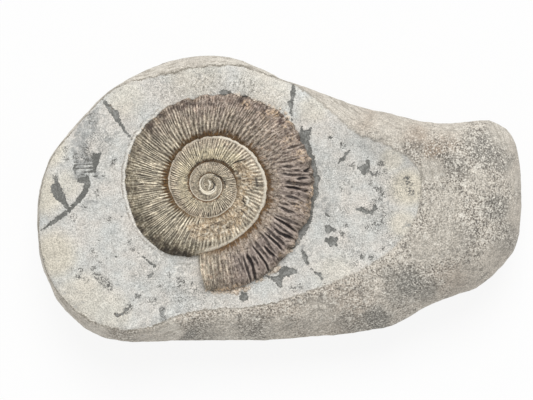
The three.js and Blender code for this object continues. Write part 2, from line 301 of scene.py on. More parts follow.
# clusters of fine flakes: x, y, radius in mm, strength
clusters = [
    (-65.9, -24.6, 0.5, 1.2), (-65.6, -26.9, 0.5, 1.1), (-64, -27.6, 0.7, 1.2), (-62.6, -29, 0.9, 1.5),
    (-61, -30, 0.9, 1.6), (-60, -31.4, 0.6, 1.4), (-70.4, -25.4, 0.4, 1.2), (-71.2, -27.6, 0.4, 1.2),
    (-68.6, -28.8, 0.5, 0.9), (-66.4, -18.2, 0.3, 0.9), (-65.2, -20, 0.3, 0.9), (-63.4, -22.8, 0.3, 0.9),
    (-53.1, -15.3, 0.3, 1.2), (-51.9, -17.6, 0.3, 1.1), (-44.2, -36.3, 0.8, 1.1), (-46, -35.8, 0.4, 1),
    (-54.4, -39.6, 0.6, 1.4), (-53.2, -38.4, 0.6, 1.3), (-50.2, -34.4, 0.4, 1.3), (-41.5, -39.4, 0.7, 0.9),
    (-41, -42.2, 1, 1), (-35.4, -28.6, 0.5, 1.1), (-34.6, -30.4, 0.6, 1.1), (-33.4, -29, 0.4, 1), (-35, -35.6, 0.6, 0.9),
    (-29.4, -32.4, 0.5, 0.9), (-42.4, -30.6, 0.5, 0.8), (-39, -27, 0.4, 0.8), (-69.3, -2.8, 0.5, 1.3), (-64.7, 1.6, 0.3, 1.2),
    (-64.6, 2.4, 0.3, 1.2), (-58.3, 14.2, 0.3, 1.3), (-58.6, 13, 0.3, 1.3), (-66.6, 21.2, 0.7, 1.1), (-66, 26.6, 1.4, 0.9),
    (-67, 29.4, 1.2, 0.8), (-64.6, 23.6, 1.4, 0.7), (-68.6, 18.4, 1.4, 0.8), (-71.6, 14.8, 1.6, 1), (-68, 15, 1.6, 1),
    (-75.6, 14, 0.6, 0.9), (-76, 17.6, 0.5, 0.8), (-60.1, -7.4, 0.4, 1.3), (-73, -6.7, 0.8, 0.9), (-70.6, 7, 0.8, 0.8),
    (-84.6, -21.6, 0.6, 1.3), (-79.6, 8, 0.5, 1.1), (36.3, 12.3, 0.9, 1.3), (37.6, 9.6, 0.4, 1), (34.9, 9, 0.5, 1.2),
    (33, 9.2, 0.4, 1.2), (35.7, 3, 0.6, 1.6), (37, 1.4, 0.7, 1.2), (35.6, -0.4, 0.5, 1), (34, 3.6, 0.3, 1.1),
    (32.6, 5.8, 0.4, 1), (45.3, 7.2, 0.7, 1.4), (46.4, 5.4, 0.5, 1.4), (46, 3.6, 0.5, 1.3), (46.9, 2.4, 0.5, 1.4),
    (33.6, -1.6, 0.8, 1.2), (32.2, -4.6, 1, 1.3), (30.6, -4.2, 0.8, 1.2), (37.2, -5.3, 0.4, 1.2), (36.7, -8, 0.4, 1.3),
    (33.6, -8.6, 0.5, 1.1), (34.8, -9.2, 0.5, 1.2), (31.8, -10, 0.6, 1.1), (34.6, -11.4, 0.4, 1), (26, 11.9, 0.6, 1.2),
    (24, 6, 0.6, 0.8), (22, 3.4, 0.6, 0.8), (36.6, -17.4, 0.4, 1.2), (29.4, -20.4, 0.5, 1.1), (32.8, -20.8, 0.5, 1.1),
    (27.2, -22.7, 0.4, 1), (22.4, -12.5, 0.4, 1.2), (23.8, -9.2, 0.3, 1.2), (22.6, 19.2, 0.5, 0.9), (18, 21.6, 0.3, 1.1),
    (5, -32, 0.5, 1.1), (7.6, -31, 0.4, 1), (-62, 20, 4, 0.5), (-52, 12, 3, 0.4), (40, -14, 4, 0.5), (33, 8, 5, 0.45),
    (-38, -33, 5, 0.5), (36, -6, 6, 0.5), (20, -5, 6, 0.4), (41, 4, 6, 0.45), (20, 10, 8, 0.35), (-40, 40, 9, 0.35),
    (-26, 41, 8, 0.35), (-12, 40, 6, 0.35), (-47, -27, 6, 0.4), (26, -18, 7, 0.4), (-31, -35, 6, 0.5)]

# single crumbs of calcite stuck to the rim: x, y, radius in mm
crumbs = [
    (-1.3, -25, 1.2), (-2.6, -25.8, 0.6), (0.2, -24.4, 0.6), (-6.6, -28.4, 0.8), (-7.8, -29.2, 0.6), (-10.6, -31.7, 0.5),
    (-11.9, -32.1, 0.9), (-13, -31.7, 0.5), (-14.3, -32.2, 0.8), (-15.1, -33.3, 1), (-16.3, -32.5, 0.8), (-16.7, -33.4, 0.6),
    (-17.9, -32.9, 0.6), (-19, -33, 0.5), (-20.2, -33, 0.55), (-21.4, -33.1, 0.5), (-22.6, -33, 0.55), (-23.8, -33, 0.5),
    (4.3, -18.3, 0.7), (3.5, -19, 0.4), (2, -19.4, 0.5), (-3.8, -26.8, 0.5), (2.2, 30.4, 0.5), (3.1, 28.8, 0.6),
    (3.7, 27.4, 0.4), (4.2, 25.8, 0.5), (0.4, 32, 0.4), (-14.4, 36.6, 0.6), (-11, 35.6, 0.5), (-9, 34.7, 0.5),
    (-5.4, 33.9, 0.4), (-3.4, 33.2, 0.5), (-48.4, 24.8, 0.4), (-53.2, 15.4, 0.4), (-26, -32.6, 0.4), (5, 21.6, 0.5)]

# soft patches of the surface: x, y, radius in mm, strength
patches = {
    "smeared": [  # dull grey where the skin is thin
        (-69, 14.4, 4.4, 0.9), (-70, 9.4, 4.2, 0.9), (-64, 8.2, 2.4, 0.6), (-70.6, 19.5, 4.6, 0.9), (-69, 25, 5, 0.9),
        (-66, 29, 4, 0.8), (-62, 25, 6, 0.4), (-41.5, -39.4, 1.6, 0.8), (15, -2, 5, 0.5),
        (-41.3, -42, 1.8, 0.9), (-36, -40.5, 1.7, 0.8), (8, -20, 4, 0.3), (46.5, -11, 3, 0.5),
        (-46, -44.5, 4, 0.5), (-2, 40, 6, 0.2), (-66, -0.5, 5, 0.25), (-25, 44, 7, 0.25),
        (26, -19, 5, 0.2), (12, -32, 3, 0.2)],
    "chiselled": [  # strokes of the tool towards the shell
        (-25, 42, 9, 0.9), (-12, 40, 8, 0.9), (-2, 34, 6, 0.6), (-38, 39, 7, 0.6), (-34, -27, 6, 1), (-30, -34, 6, 1),
        (-20, -37, 5, 0.6), (-44, -20, 6, 0.5), (16, 10, 6, 0.3), (-60, 14, 5, 0.3), (10, -20, 5, 0.3)],
    "polished": [  # rind with little grain
        (30, 29, 8, 1), (40, 27, 8, 1), (50, 25, 7, 0.9), (20, 36, 8, 0.9), (60, 25, 6, 0.5), (-78, -34, 6, 1),
        (-72, -41, 6, 1), (-64, -46, 6, 0.9), (-86, -14, 6, 1), (-86, 6, 6, 1), (-80, 20, 6, 1), (-66, 36, 8, 0.9),
        (-48, 46, 10, 0.9), (-26, 50, 12, 0.9), (-6, 47, 10, 0.9), (8, 41, 8, 0.9), (86, 10, 7, 1), (86, -6, 7, 1), (85, 20, 6, 1), (78, -22, 8, 0.9), (66, -29, 8, 0.9), (55, -37, 7, 0.8),
        (40, -34, 12, 0.35), (18, -42, 12, 0.3)],
    "warm": [  # cream and yellowish ground
        (46, 4, 8, 1), (44, -9, 6, 0.7), (40, 14, 5, 0.6), (-84, 2, 9, 0.8), (-82, 18, 8, 0.8), (-80, -20, 10, 0.9),
        (-70, -36, 12, 0.6), (-30, 45, 12, 0.5), (-55, 36, 8, 0.5), (-5, 40, 12, 0.4), (20, -27, 9, 0.4),
        (-75, 5, 6, 0.5), (-60, -40, 9, 0.5), (12, 32, 6, 0.5)],
    "dark": [  # grey, thinner rind
        # grey, thinner rind; the patches along the bottom are partly painted shade
        (52, -32, 6, 0.7), (34.6, -42.8, 6, 0.9), (-28.4, -49, 8, 0.6), (74, 17.5, 8, 0.8), (69, 20, 5, 0.5),
        (79, 13, 5, 0.6), (76.5, -3.4, 6, 0.8), (62.5, 12, 4, 0.5), (54.4, 9, 3, 0.3), (80, -14, 6, 0.4),
        (44, -27, 5, 0.5), (46, -30, 7, 0.9), (39, -27, 4, 0.6), (-31, -49, 3.4, 0.9), (24, -43, 5, 0.5),
        (42, -33, 6, 0.6), (-55, -49, 8, 0.3), (-8, -47, 8, 0.4), (15, -38, 6, 0.4), (30, -46, 5, 0.6)],
    "gloomy": [  # flakes gone dark, one with the wet look of pyrite dust
        (-64.6, 14.6, 1.9, 1), (-64.8, 11.6, 1.6, 1), (-65.6, 9.8, 1.4, 0.8), (-68.8, 3, 2.4, 0.6),
        (-69.6, -0.6, 2.6, 0.9), (-73, -3.8, 2.6, 0.9), (-77, -6.8, 2.6, 0.8), (-82, -9.8, 2.6, 0.6),
        (-71.5, 12.2, 2.2, 0.8), (-68.5, 10.8, 2.4, 0.8), (-79, 4.6, 2.4, 0.5), (-76.4, -0.6, 2.2, 0.5)],
    "pale": [  # chalky rind; the strong patches along the top are partly painted light
        (54, 10, 5, 0.8), (58, -2, 8, 0.4), (80, 24, 7, 0.7), (86, 6, 5, 0.5), (-12, 48, 22, 1), (-45, 46, 16, 1),
        (-64, 36, 8, 1), (-78, 22, 9, 1), (-86, 8, 9, 1), (-87, -8, 10, 1), (-84, -26, 9, 0.9), (22, 35, 12, 0.8),
        (40, 27, 9, 0.5), (60, -14, 9, 0.4), (52, -17, 7, 0.5), (70, 6, 6, 0.3), (62, 26, 6, 0.5), (-76, -38, 7, 0.9), (-66, -46, 6, 0.8), (-39.4, -46, 4.6, 1),
        (-36.6, -47.8, 3.4, 0.9), (14, -43, 9, 0.4), (0, -47, 7, 0.4), (-20, -46, 6, 0.4), (-46, -49, 6, 0.4)],
    "brown": [  # iron stain in the rind; the broad faint patches along the bottom are partly painted shade
        (54.5, 17, 4.5, 0.9), (48, 22, 6, 0.6), (60, 20, 5, 0.5), (20, -40, 16, 0.35), (0, -44, 14, 0.3),
        (-30, -46, 12, 0.3), (-52, -47, 10, 0.3), (60, -28, 8, 0.3), (30, 30, 7, 0.4), (-59, 32.6, 1.6, 0.9)],
    "crumbed": [  # crumbs of shell and calcite stuck along the rim
        (-44, 32, 2, 0.5), (-22, -33.2, 2.4, 1), (-18.6, -33.6, 2.6, 1), (-14.6, -33.4, 2.4, 1), (-10, -31.6, 1.8, 0.7),
        (-5.4, -29.6, 1.8, 0.9), (-1.6, -26.8, 1.4, 0.9), (1.4, -18.2, 1.6, 0.9), (6.4, -14.8, 1.6, 0.7),
        (-15, 37, 1.6, 1), (-9.2, 34.6, 1.5, 1), (-3, 32.8, 1.6, 1), (2.7, 30.6, 1.4, 1), (3.4, 29, 1.2, 1),
        (4.5, 25.6, 1.8, 1), (5.6, 23, 1.4, 0.7), (-24, 38, 1.2, 0.5)],
}


def evenSkin(node):
    # the CAD solid with its socket filled and remeshed to an even grid; growNodule smooths it after
    bm = bmesh.new()
    bm.from_mesh(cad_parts[node].data)
    bmesh.ops.remove_doubles(bm, verts=bm.verts, dist=1e-3 * mm)
    corners = np.array([vert.co[:] for vert in bm.verts]) / mm
    away, _ = outsideShell(corners, spare=0.02)
    for vert, gap, height in zip(bm.verts, away, faceHeight(corners)):
        if gap < 2.2 and vert.co.z > 15 * mm:
            vert.co.z = height * mm
    bmesh.ops.dissolve_degenerate(bm, edges=bm.edges, dist=1e-3 * mm)
    mesh = bpy.data.meshes.new("noduleBlank")
    bm.to_mesh(mesh)
    bm.free()
    blank = bpy.data.objects.new("noduleBlank", mesh)
    bpy.context.scene.collection.objects.link(blank)
    remesh = blank.modifiers.new("evenSkin", "REMESH")
    remesh.mode = "VOXEL"
    remesh.voxel_size = stone["voxel"] * mm
    even = bpy.data.meshes.new_from_object(blank.evaluated_get(bpy.context.evaluated_depsgraph_get()))
    bpy.data.objects.remove(blank)
    return even


def scatterCrumbs(mesh):
    bm = bmesh.new()
    bm.from_mesh(mesh)
    crumbLayer, awayLayer, chipLayer = (bm.verts.layers.float[name] for name in ("crumb", "away", "chip"))
    for x, y, size in crumbs:
        bed = faceHeight(np.array([[x, y]]))[0] + 0.15 * size
        made = bmesh.ops.create_icosphere(bm, subdivisions=2, radius=size * mm)["verts"]
        for vert in made:
            rough = 1 + 0.55 * noise.fractal(vert.co * 900 / size + Vector((x, y, 0)), 1.0, 2.0, 3)
            vert.co = vert.co * rough + Vector((x, y, bed)) * mm
            vert[crumbLayer], vert[awayLayer], vert[chipLayer] = 1, 5, 9
    bm.to_mesh(mesh)
    bm.free()


def growNodule(material):
    even = evenSkin("nodule")
    bm = bmesh.new()
    bm.from_mesh(even)
    for _ in range(stone["smoothing"]):
        bmesh.ops.smooth_vert(bm, verts=bm.verts, factor=0.5, use_axis_x=True, use_axis_y=True, use_axis_z=True)

    # a finer grid on the dressed face, where the flakes are
    faceEdge = closedCurve(stone["faceEdge"])
    flat = np.array([vert.co[:] for vert in bm.verts]) / mm
    away, _ = outsideShell(flat)
    dressed = (outsideBy(flat, faceEdge) < 1.5) & (flat[:, 2] > 24) & (away > -1.2)
    fine = [line for line in bm.edges if all(dressed[vert.index] for vert in line.verts)]
    bmesh.ops.subdivide_edges(bm, edges=fine, cuts=1, use_grid_fill=True, smooth=0.0)
    bm.to_mesh(even)
    bm.free()

    places, normals = readPlaces(even), readNormals(even)
    onTop = ease(places[:, 2], 22, 27)
    rind = outsideBy(places, faceEdge)
    rind = np.where(onTop > 0.5, rind, np.maximum(rind, 3.0))
    rind = rind + 0.5 * lumps(places, 2.4, 1) + 0.35 * lumps(places, 0.9, 2, 1)
    chip = np.full(len(places), 9.0)
    for outline in chips.values():
        chip = np.minimum(chip, outsideBy(places, np.array(outline)))
    for line, halfWidth in cracks:
        chip = np.minimum(chip, offLine(places, line, halfWidth))
    for x, y, size in flecks:
        tilt = x * 7 + y * 3
        long = (places[:, 0] - x) * math.cos(tilt) + (places[:, 1] - y) * math.sin(tilt)
        short = (places[:, 1] - y) * math.cos(tilt) - (places[:, 0] - x) * math.sin(tilt)
        chip = np.minimum(chip, np.hypot(long * 0.6, short * 1.6) - size)
    chip = chip + 0.5 * lumps(places, 0.9, 3, 2)
    for line, halfWidth in slivers:
        chip = np.maximum(chip, -2 * offLine(places, line, halfWidth))
    chip = np.where((rind < 0.6) & (onTop > 0.5), chip, 9.0)
    away, edge = outsideShell(places)
    bearing = np.arctan2(-(places[:, 0] - coil["x"]), places[:, 1] - coil["y"])  # 0 towards +Y, wraps towards -Y
    collar = ease(bearing, 0.3, 0.8) * (1 - ease(bearing, 2.3, 2.8)) * onTop
    sway = 0.4 * np.clip(30 - places[:, 2], 0, None)[:, None]  # so that no patch runs straight down the flank
    swayed = places + sway * np.stack([lumps(places, 13.0, seed, 2) for seed in (48, 49, 50)], 1)
    fields = {name: soft(swayed, discs) for name, discs in patches.items()}
    fields["flaky"] = soft(places, [(x, y, size + 1.0, 0.72 * strength) for x, y, size, strength in clusters])
    fields["chiselled"] *= ease(away, -0.1, 0.5) * (1 - ease(away, 5, 9))
    fields["grainy"] = 1 - 0.7 * fields.pop("polished") + soft(places, [(62, -3, 20, 0.4)])
    fields["outlined"] = 1 - 0.85 * ease(places[:, 0], 0, 25)
    fields["crumbed"] *= ease(away, -1.0, 0.2) * (1 - ease(away, 0.9, 2.2)) * onTop

    # relief along the normal
    weathered = ease(rind, -0.5, 0.5)
    lift = stone["lip"] * (ease(rind, -0.5, 0.4) - ease(rind, 1.0, 6.0))
    lift += weathered * stone["rindLumps"] * lumps(places, 7.0, 4, 3)
    lift += weathered * stone["rindPits"] * lumps(places, 1.6, 5, 2)
    lift += (1 - weathered) * 0.10 * lumps(places, 9.0, 6, 2)
    lift += (1 - weathered) * 0.04 * lumps(places, 1.3, 7, 1)
    lift -= stone["chipDepth"] * (1 - ease(chip, -0.35, 0.15)) * (1 - weathered)
    lift += stone["collar"] * collar * (1 - ease(away, 0.7, 1.6)) * ease(lumps(places, 2.0, 8, 2), -0.3, 0.5)
    lift += 0.5 * fields["crumbed"] * np.maximum(lumps(places, 1.1, 9, 1), 0)
    bearings = np.degrees(np.arctan2(places[:, 1], places[:, 0])) % 360
    lift -= np.interp(bearings, stone["drawnAt"], stone["drawnIn"]) * (1 - normals[:, 2] ** 2)
    lift -= stone["recess"] * (1 - ease(away, -0.9, -0.4)) * onTop
    places = places + normals * lift[:, None]
    places[:, 2] = np.maximum(places[:, 2], 0)
    writePlaces(even, places)

    fields["crumb"] = np.zeros(len(places))
    fields.update({"rind": rind, "chip": chip, "away": away, "around": bearing * edge, "collar": collar})
    for name, values in fields.items():
        storeField(even, name, np.clip(values, -150, 150))
    scatterCrumbs(even)
    print("nodule skin:", len(even.vertices), "points,", sum(len(face.vertices) - 2 for face in even.polygons), "triangles")
    return newPiece("noduleStone", even, material, "nodule")


# ---- the ammonite

shell = {
    "points": 36,  # round the whorl
    "ribKnots": [4.4, 3.4, 1.73, 0.73, 0.2, -0.27, -0.95, -1.05, -1.18, -1.27],  # turns at which the ribbing changes
    "ribsPerTurn": [14, 56, 84, 108, 88, 96, 92, 66, 110],  # between those
    "stationsPerRib": [6, 5, 5, 5, 7, 12, 14, 18, 9],
    "bossRadius": 1.5,  # mm, the first chamber at the heart of the coil
    "seed": 4,
}

# how the last whorl is kept, by direction from the coil's centre in degrees, from the mouth backwards
lastWhorl = {
    "direction": [-97, -88, -78, -70, -62, -50, -38, -30, -22, -12, -4, 6, 14, 25, 45, 60, 75, 100, 130, 150, 180, 215,
                  240, 263],
    "ribHeight": [0.4, 0.45, 0.5, 0.7, 0.9, 0.9, 0.9, 0.8, 0.5, 0.55, 0.85, 0.8, 0.55, 0.45, 0.42, 0.42, 0.4, 0.38, 0.42,
                  0.46, 0.48, 0.46, 0.36, 0.24],
    "gapDark": [0.35, 0.45, 0.7, 0.95, 1, 1, 1, 0.95, 0.55, 0.6, 0.95, 1, 0.75, 0.55, 0.65, 0.8, 0.85, 0.85, 0.9, 0.95, 1,
                1, 1, 0.95],
    "rimFade": [0, 0, 0, 0, 0, 0, 0, 0, 0, 0, 0, 0, 0, 0.2, 0.4, 0.5, 0.5, 0.4, 0.45, 0.6, 0.65, 0.6, 0.5, 0.4],
    "blade": [0, 0, 0.1, 0.7, 1, 1, 1, 1, 0.6, 0.5, 0.9, 0.9, 0.5, 0.2, 0, 0, 0, 0, 0, 0, 0, 0, 0, 0],
    "split": [0.8, 0.8, 0.7, 0.2, 0, 0, 0, 0, 0, 0, 0, 0, 0.2, 0.5, 0.9, 1, 1, 1, 1, 1, 0.9, 0.8, 0.6, 0.4],
    "fork": [0.48, 0.48, 0.48, 0.48, 0.48, 0.48, 0.48, 0.48, 0.48, 0.48, 0.48, 0.48, 0.48, 0.48, 0.48, 0.48, 0.48, 0.46,
             0.38, 0.3, 0.2, 0.2, 0.3, 0.4],
    "smoothBand": [0.02, 0.08, 0.15, 0.26, 0.32, 0.28, 0.3, 0.32, 0.32, 0.28, 0.27, 0.26, 0.25, 0.2, 0.1, 0.05, 0.03,
                   0.02, 0.02, 0.02, 0.02, 0.02, 0.02, 0.02],
    "lean": [-6, -1.5, 1.5, 2, 2.7, 0, -1, -0.5, 0.5, 1.5, 2, 1, 1, 1, 1.5, 2.5, 3.5, 2, 2, 1.5, 0, 0, 0, 0],
    "purple": [0.2, 0.3, 0.4, 0.4, 0.4, 0.4, 0.4, 0.4, 0.4, 0.5, 0.5, 0.5, 0.5, 0.6, 0.6, 0.7, 0.9, 1, 0.8, 0.35, 0.1,
               0, 0, 0],
    "olive": [0.25, 0.1, 0, 0, 0, 0, 0, 0, 0, 0, 0, 0, 0, 0, 0, 0, 0, 0.05, 0.3, 0.6, 0.8, 0.85, 1, 0.9],
    "rust": [0.6, 0.5, 0.4, 0.2, 0.1, 0.1, 0.2, 0.4, 0.7, 0.9, 0.4, 0.5, 0.9, 0.9, 0.6, 0.4, 0.35, 0.3, 0.2, 0.1, 0.05, 0.1,
             0.2, 0.3],
    "brown": [0.5, 0.6, 0.8, 1, 1, 1, 1, 1, 1, 1, 1, 1, 1, 1, 0.95, 0.9, 0.8, 0.6, 0.3, 0.12, 0, 0, 0.1, 0.2],
    "seamWidth": [0.13, 0.13, 0.13, 0.13, 0.13, 0.13, 0.13, 0.13, 0.13, 0.13, 0.13, 0.13, 0.13, 0.13, 0.13, 0.135, 0.135,
                  0.135, 0.12, 0.14, 0.16, 0.12, 0.08, 0.05],
    "seamDark": [0.3, 0.5, 0.8, 0.85, 0.85, 0.85, 0.85, 0.85, 0.85, 0.8, 0.8, 0.8, 0.8, 0.8, 0.85, 0.85, 0.85, 0.85, 0.85,
                 0.9, 0.9, 0.8, 0.6, 0.3],
}

# where the inner whorls are worn through: outlines in mm from the stone's middle
wornThrough = {
    "notch": [(-16.6, 12.6), (-14.6, 13.4), (-12.3, 13.9), (-11.4, 11.6), (-7.6, 8.8), (-8.2, 5.2), (-11.4, 2.6),
              (-12.2, -1), (-14, -3.4), (-17, -4), (-18, -1), (-15.2, 3.6), (-14.6, 7.6), (-15.6, 9.2)],
    "floor": [(-32.6, -8.6), (-27, -7.8), (-21.2, -6.6), (-17, -4.2), (-13.6, -1.4), (-10.8, -3.4), (-12.2, -8.2),
              (-15.4, -11.4), (-20.6, -14.2), (-26.6, -15), (-31.8, -13.6)],
}

# narrow slits between the worn blades: points from the inside out, half the width in mm, darkness
slits = [
    ([(-1.5, -6.7), (1.5, -8.4), (3.8, -9.8), (6.3, -11.8)], 0.28, 1), ([(-0.9, -6), (3.8, -7.9), (7.9, -9.7)], 0.3, 0.6),
    ([(-1.1, -8.8), (2.1, -11.4), (5.1, -13.3)], 0.25, 0.6), ([(-1.6, -10.6), (0.1, -12.1), (2.1, -13), (4.9, -14.4)], 0.3, 0.9),
    ([(1.2, -12.5), (3, -13.4), (5.1, -14.2)], 0.45, 1), ([(-4.4, -10.3), (-2.2, -12.8), (1, -15.3), (2.1, -16.4)], 0.36, 0.65),
    ([(-4.8, -12.4), (-2.7, -14.1), (0.1, -16.7), (1.2, -18.3)], 0.26, 1),
    ([(-6.5, -12.3), (-4.5, -14.6), (-3.4, -16.9), (-1.1, -19.6)], 0.26, 0.55),
    ([(-5.1, -16.9), (-3.1, -19.2), (-0.9, -20.9)], 0.32, 1), ([(-9, -14.6), (-7, -17.3), (-4.1, -20.6)], 0.3, 0.4),
    ([(-9.1, -17.1), (-7, -19.6), (-4.5, -23.1), (-3.6, -25.6)], 0.22, 1),
    ([(-11.6, -19.5), (-10.3, -21.5), (-8.9, -24.5)], 0.42, 1), ([(-9.6, -23.5), (-8.6, -26.5), (-8.3, -28.8)], 0.36, 0.75),
    ([(-9.8, -20.1), (-8.4, -21.5), (-7.5, -23.3)], 0.26, 0.75),
    ([(-12.8, -20.3), (-11.6, -23.8), (-10.5, -27.2), (-9.8, -30.2)], 0.24, 0.75),
    ([(-14.4, -21), (-13.5, -23.3), (-12.6, -25.4)], 0.26, 0.45), ([(6.3, 6.9), (8.2, 7.4), (10.4, 7.5)], 0.28, 1),
    ([(8.8, 9.8), (10, 9.9), (11.1, 11)], 0.35, 1), ([(5.6, 10.1), (7.6, 10)], 0.2, 0.7),
    ([(2.3, 5.8), (5.9, 5.3), (10.4, 5.1)], 0.42, 0.7), ([(2.4, 4.2), (5.5, 4), (8.3, 3.2)], 0.3, 1),
    ([(8.9, 2.8), (10, 2.6), (10.7, 3)], 0.24, 0.9), ([(2.7, 1), (5, 0.5), (7.1, -0.1)], 0.26, 0.8),
    ([(1.3, -1.8), (3.2, -2.1)], 0.2, 0.5), ([(3.6, -1.4), (6.9, -2.1)], 0.2, 0.6),
    ([(0.2, -2.8), (3.2, -4.4), (5.3, -4.8)], 0.3, 0.55), ([(2, 11.4), (4.8, 11.5)], 0.24, 0.6),
    ([(0.7, 9), (3.6, 8.5), (9.6, 8.3)], 0.24, 0.6), ([(0.5, 12.8), (3.5, 13.3), (6.5, 14.2)], 0.2, 0.4),
    ([(3.4, 18), (6.4, 18.9)], 0.3, 0.5), ([(-10.9, 29.6), (-11.8, 27.2)], 0.3, 0.5)]

# lines on the inner whorls, pale and dark: points in mm, half the width in mm, strength
paleLines = [
    ([(-28.3, 4.7), (-27.9, 3.3), (-26.7, 2.1), (-25.2, 1.7), (-23.8, 2.1), (-22.6, 3.1), (-22.4, 4.4)], 0.2, 0.9),
    ([(-25.2, 6.7), (-24.4, 5.2), (-25.1, 3.4)], 0.16, 0.7), ([(-26.8, 6.9), (-27.2, 5.4), (-26.4, 4)], 0.12, 0.4),
    ([(-12.4, 1), (-11.2, 0.6), (-10.8, -0.6), (-11.4, -1.6)], 0.2, 0.8), ([(-15.6, 9), (-13.2, 7), (-11.4, 7.4)], 0.16, 0.5),
    ([(-14.4, 2), (-12.8, 4.6), (-10.6, 5.8)], 0.16, 0.5), ([(-24, -9.6), (-20, -9.8), (-16, -8)], 0.14, 0.4),
    ([(-28, -12), (-23.4, -12.6), (-19, -11.4)], 0.14, 0.5), ([(-13.2, -6.4), (-11, -4.4), (-10.2, -2.4)], 0.18, 0.6)]
darkLines = [
    ([(-23.9, 6.5), (-22.9, 5.1), (-23.3, 3.8), (-24.5, 3)], 0.24, 0.9), ([(-28.8, 3.6), (-27.6, 1.8), (-25.4, 1)], 0.2, 0.7),
    ([(-31.5, 9.9), (-29.9, 11.8), (-27.3, 13.6), (-23.4, 13.8), (-20.2, 13.3), (-17.6, 11.8), (-15.7, 9.3)], 0.16, 0.8),
    ([(-23, 8.4), (-20.8, 7.6), (-19.4, 5.8), (-19.2, 4)], 0.22, 0.8),
    ([(-16.8, 12.2), (-14.4, 13.4), (-12.1, 13.9)], 0.2, 1), ([(-12.6, 0.6), (-13, -0.6), (-12, -1.7)], 0.3, 1),
    ([(-9.1, 8.9), (-8.3, 7), (-7.5, 4.1)], 0.22, 0.9), ([(-15.6, 10.4), (-14.8, 8), (-13.4, 6.2)], 0.18, 0.7),
    ([(-11.4, 4.4), (-10, 3), (-8.8, 3.2)], 0.2, 0.8), ([(-26, -8.6), (-22, -8.4), (-18, -6.8)], 0.16, 0.7),
    ([(-22, -11.2), (-18.6, -10.4), (-15.6, -8.8)], 0.18, 0.6), ([(-30.4, -10.6), (-27, -11), (-24.6, -10.2)], 0.18, 0.6),
    ([(-14, -3.6), (-12.4, -4.8), (-11.2, -6.6)], 0.22, 0.8)]

# crusts on the shell: x, y, radius in mm, strength
crusts = [
    (6.2, 5.5, 3, 0.6), (12, 3, 3, 0.8), (11, -3, 3, 0.8), (6.8, -2.4, 3.2, 0.6), (7, 14.6, 3.4, 0.6),
    (3.4, 21, 2.2, 0.9), (-5, 29.4, 2.5, 0.5), (-20, -32.6, 3, 0.8), (-15, -32.2, 3, 0.8), (0.2, -19.6, 1.4, 0.8),
    (-30, 37, 3, 0.3), (-42.6, 29, 3, 0.4), (-1.6, 30.6, 2.2, 0.8), (3.4, 26.4, 2.2, 0.8), (-12, 33.6, 2.6, 0.5)]


# dark tarnish towards the rim: x, y, radius in mm, strength
tarnish = [
    (-34.2, 33.4, 2.6, 1), (-30.6, 33.8, 2, 0.9), (-37.4, 31.6, 2.2, 0.9), (-41.6, 28.8, 2.8, 1), (-45.6, 25.4, 2.8, 0.9),
    (-44, 22.6, 2, 0.5), (-23.4, 34.6, 2.6, 0.8), (-20, 33, 2, 0.5), (-12.5, 34, 3, 1), (-8, 32.4, 2.4, 0.7),
    (-5.5, 31.8, 2.8, 1), (-1, 29.2, 2.8, 1), (1, 28, 2.6, 1), (3.4, 24.6, 1.8, 0.8), (-17, 34, 2, 0.6), (-27, 30, 2, 0.4), (8.4, 18.8, 1.8, 0.8),
    (7.2, 21.4, 1.2, 1), (-33, -20.4, 2.6, 0.8), (-1.2, -21.4, 1.4, 0.9), (-40.6, -17.6, 2.6, 0.9),
    (-37, -19.4, 2.8, 1), (-44, -14.4, 2.2, 0.7), (-53, 18, 2, 0.4), (-54, 13, 2.2, 0.45), (-55, 8.6, 2.2, 0.5),
    (-54.8, 3.4, 2.4, 0.6), (-54, -2, 2.4, 0.6), (-52.2, -7.2, 2.6, 0.65), (-49.6, -11.6, 2.6, 0.6),
    (-45.6, -15.6, 2.6, 0.6), (-51, 17.6, 3.4, 0.3), (-50, 4, 4, 0.25), (-47, -8, 4, 0.25), (-29, -21.6, 2, 0.5)]


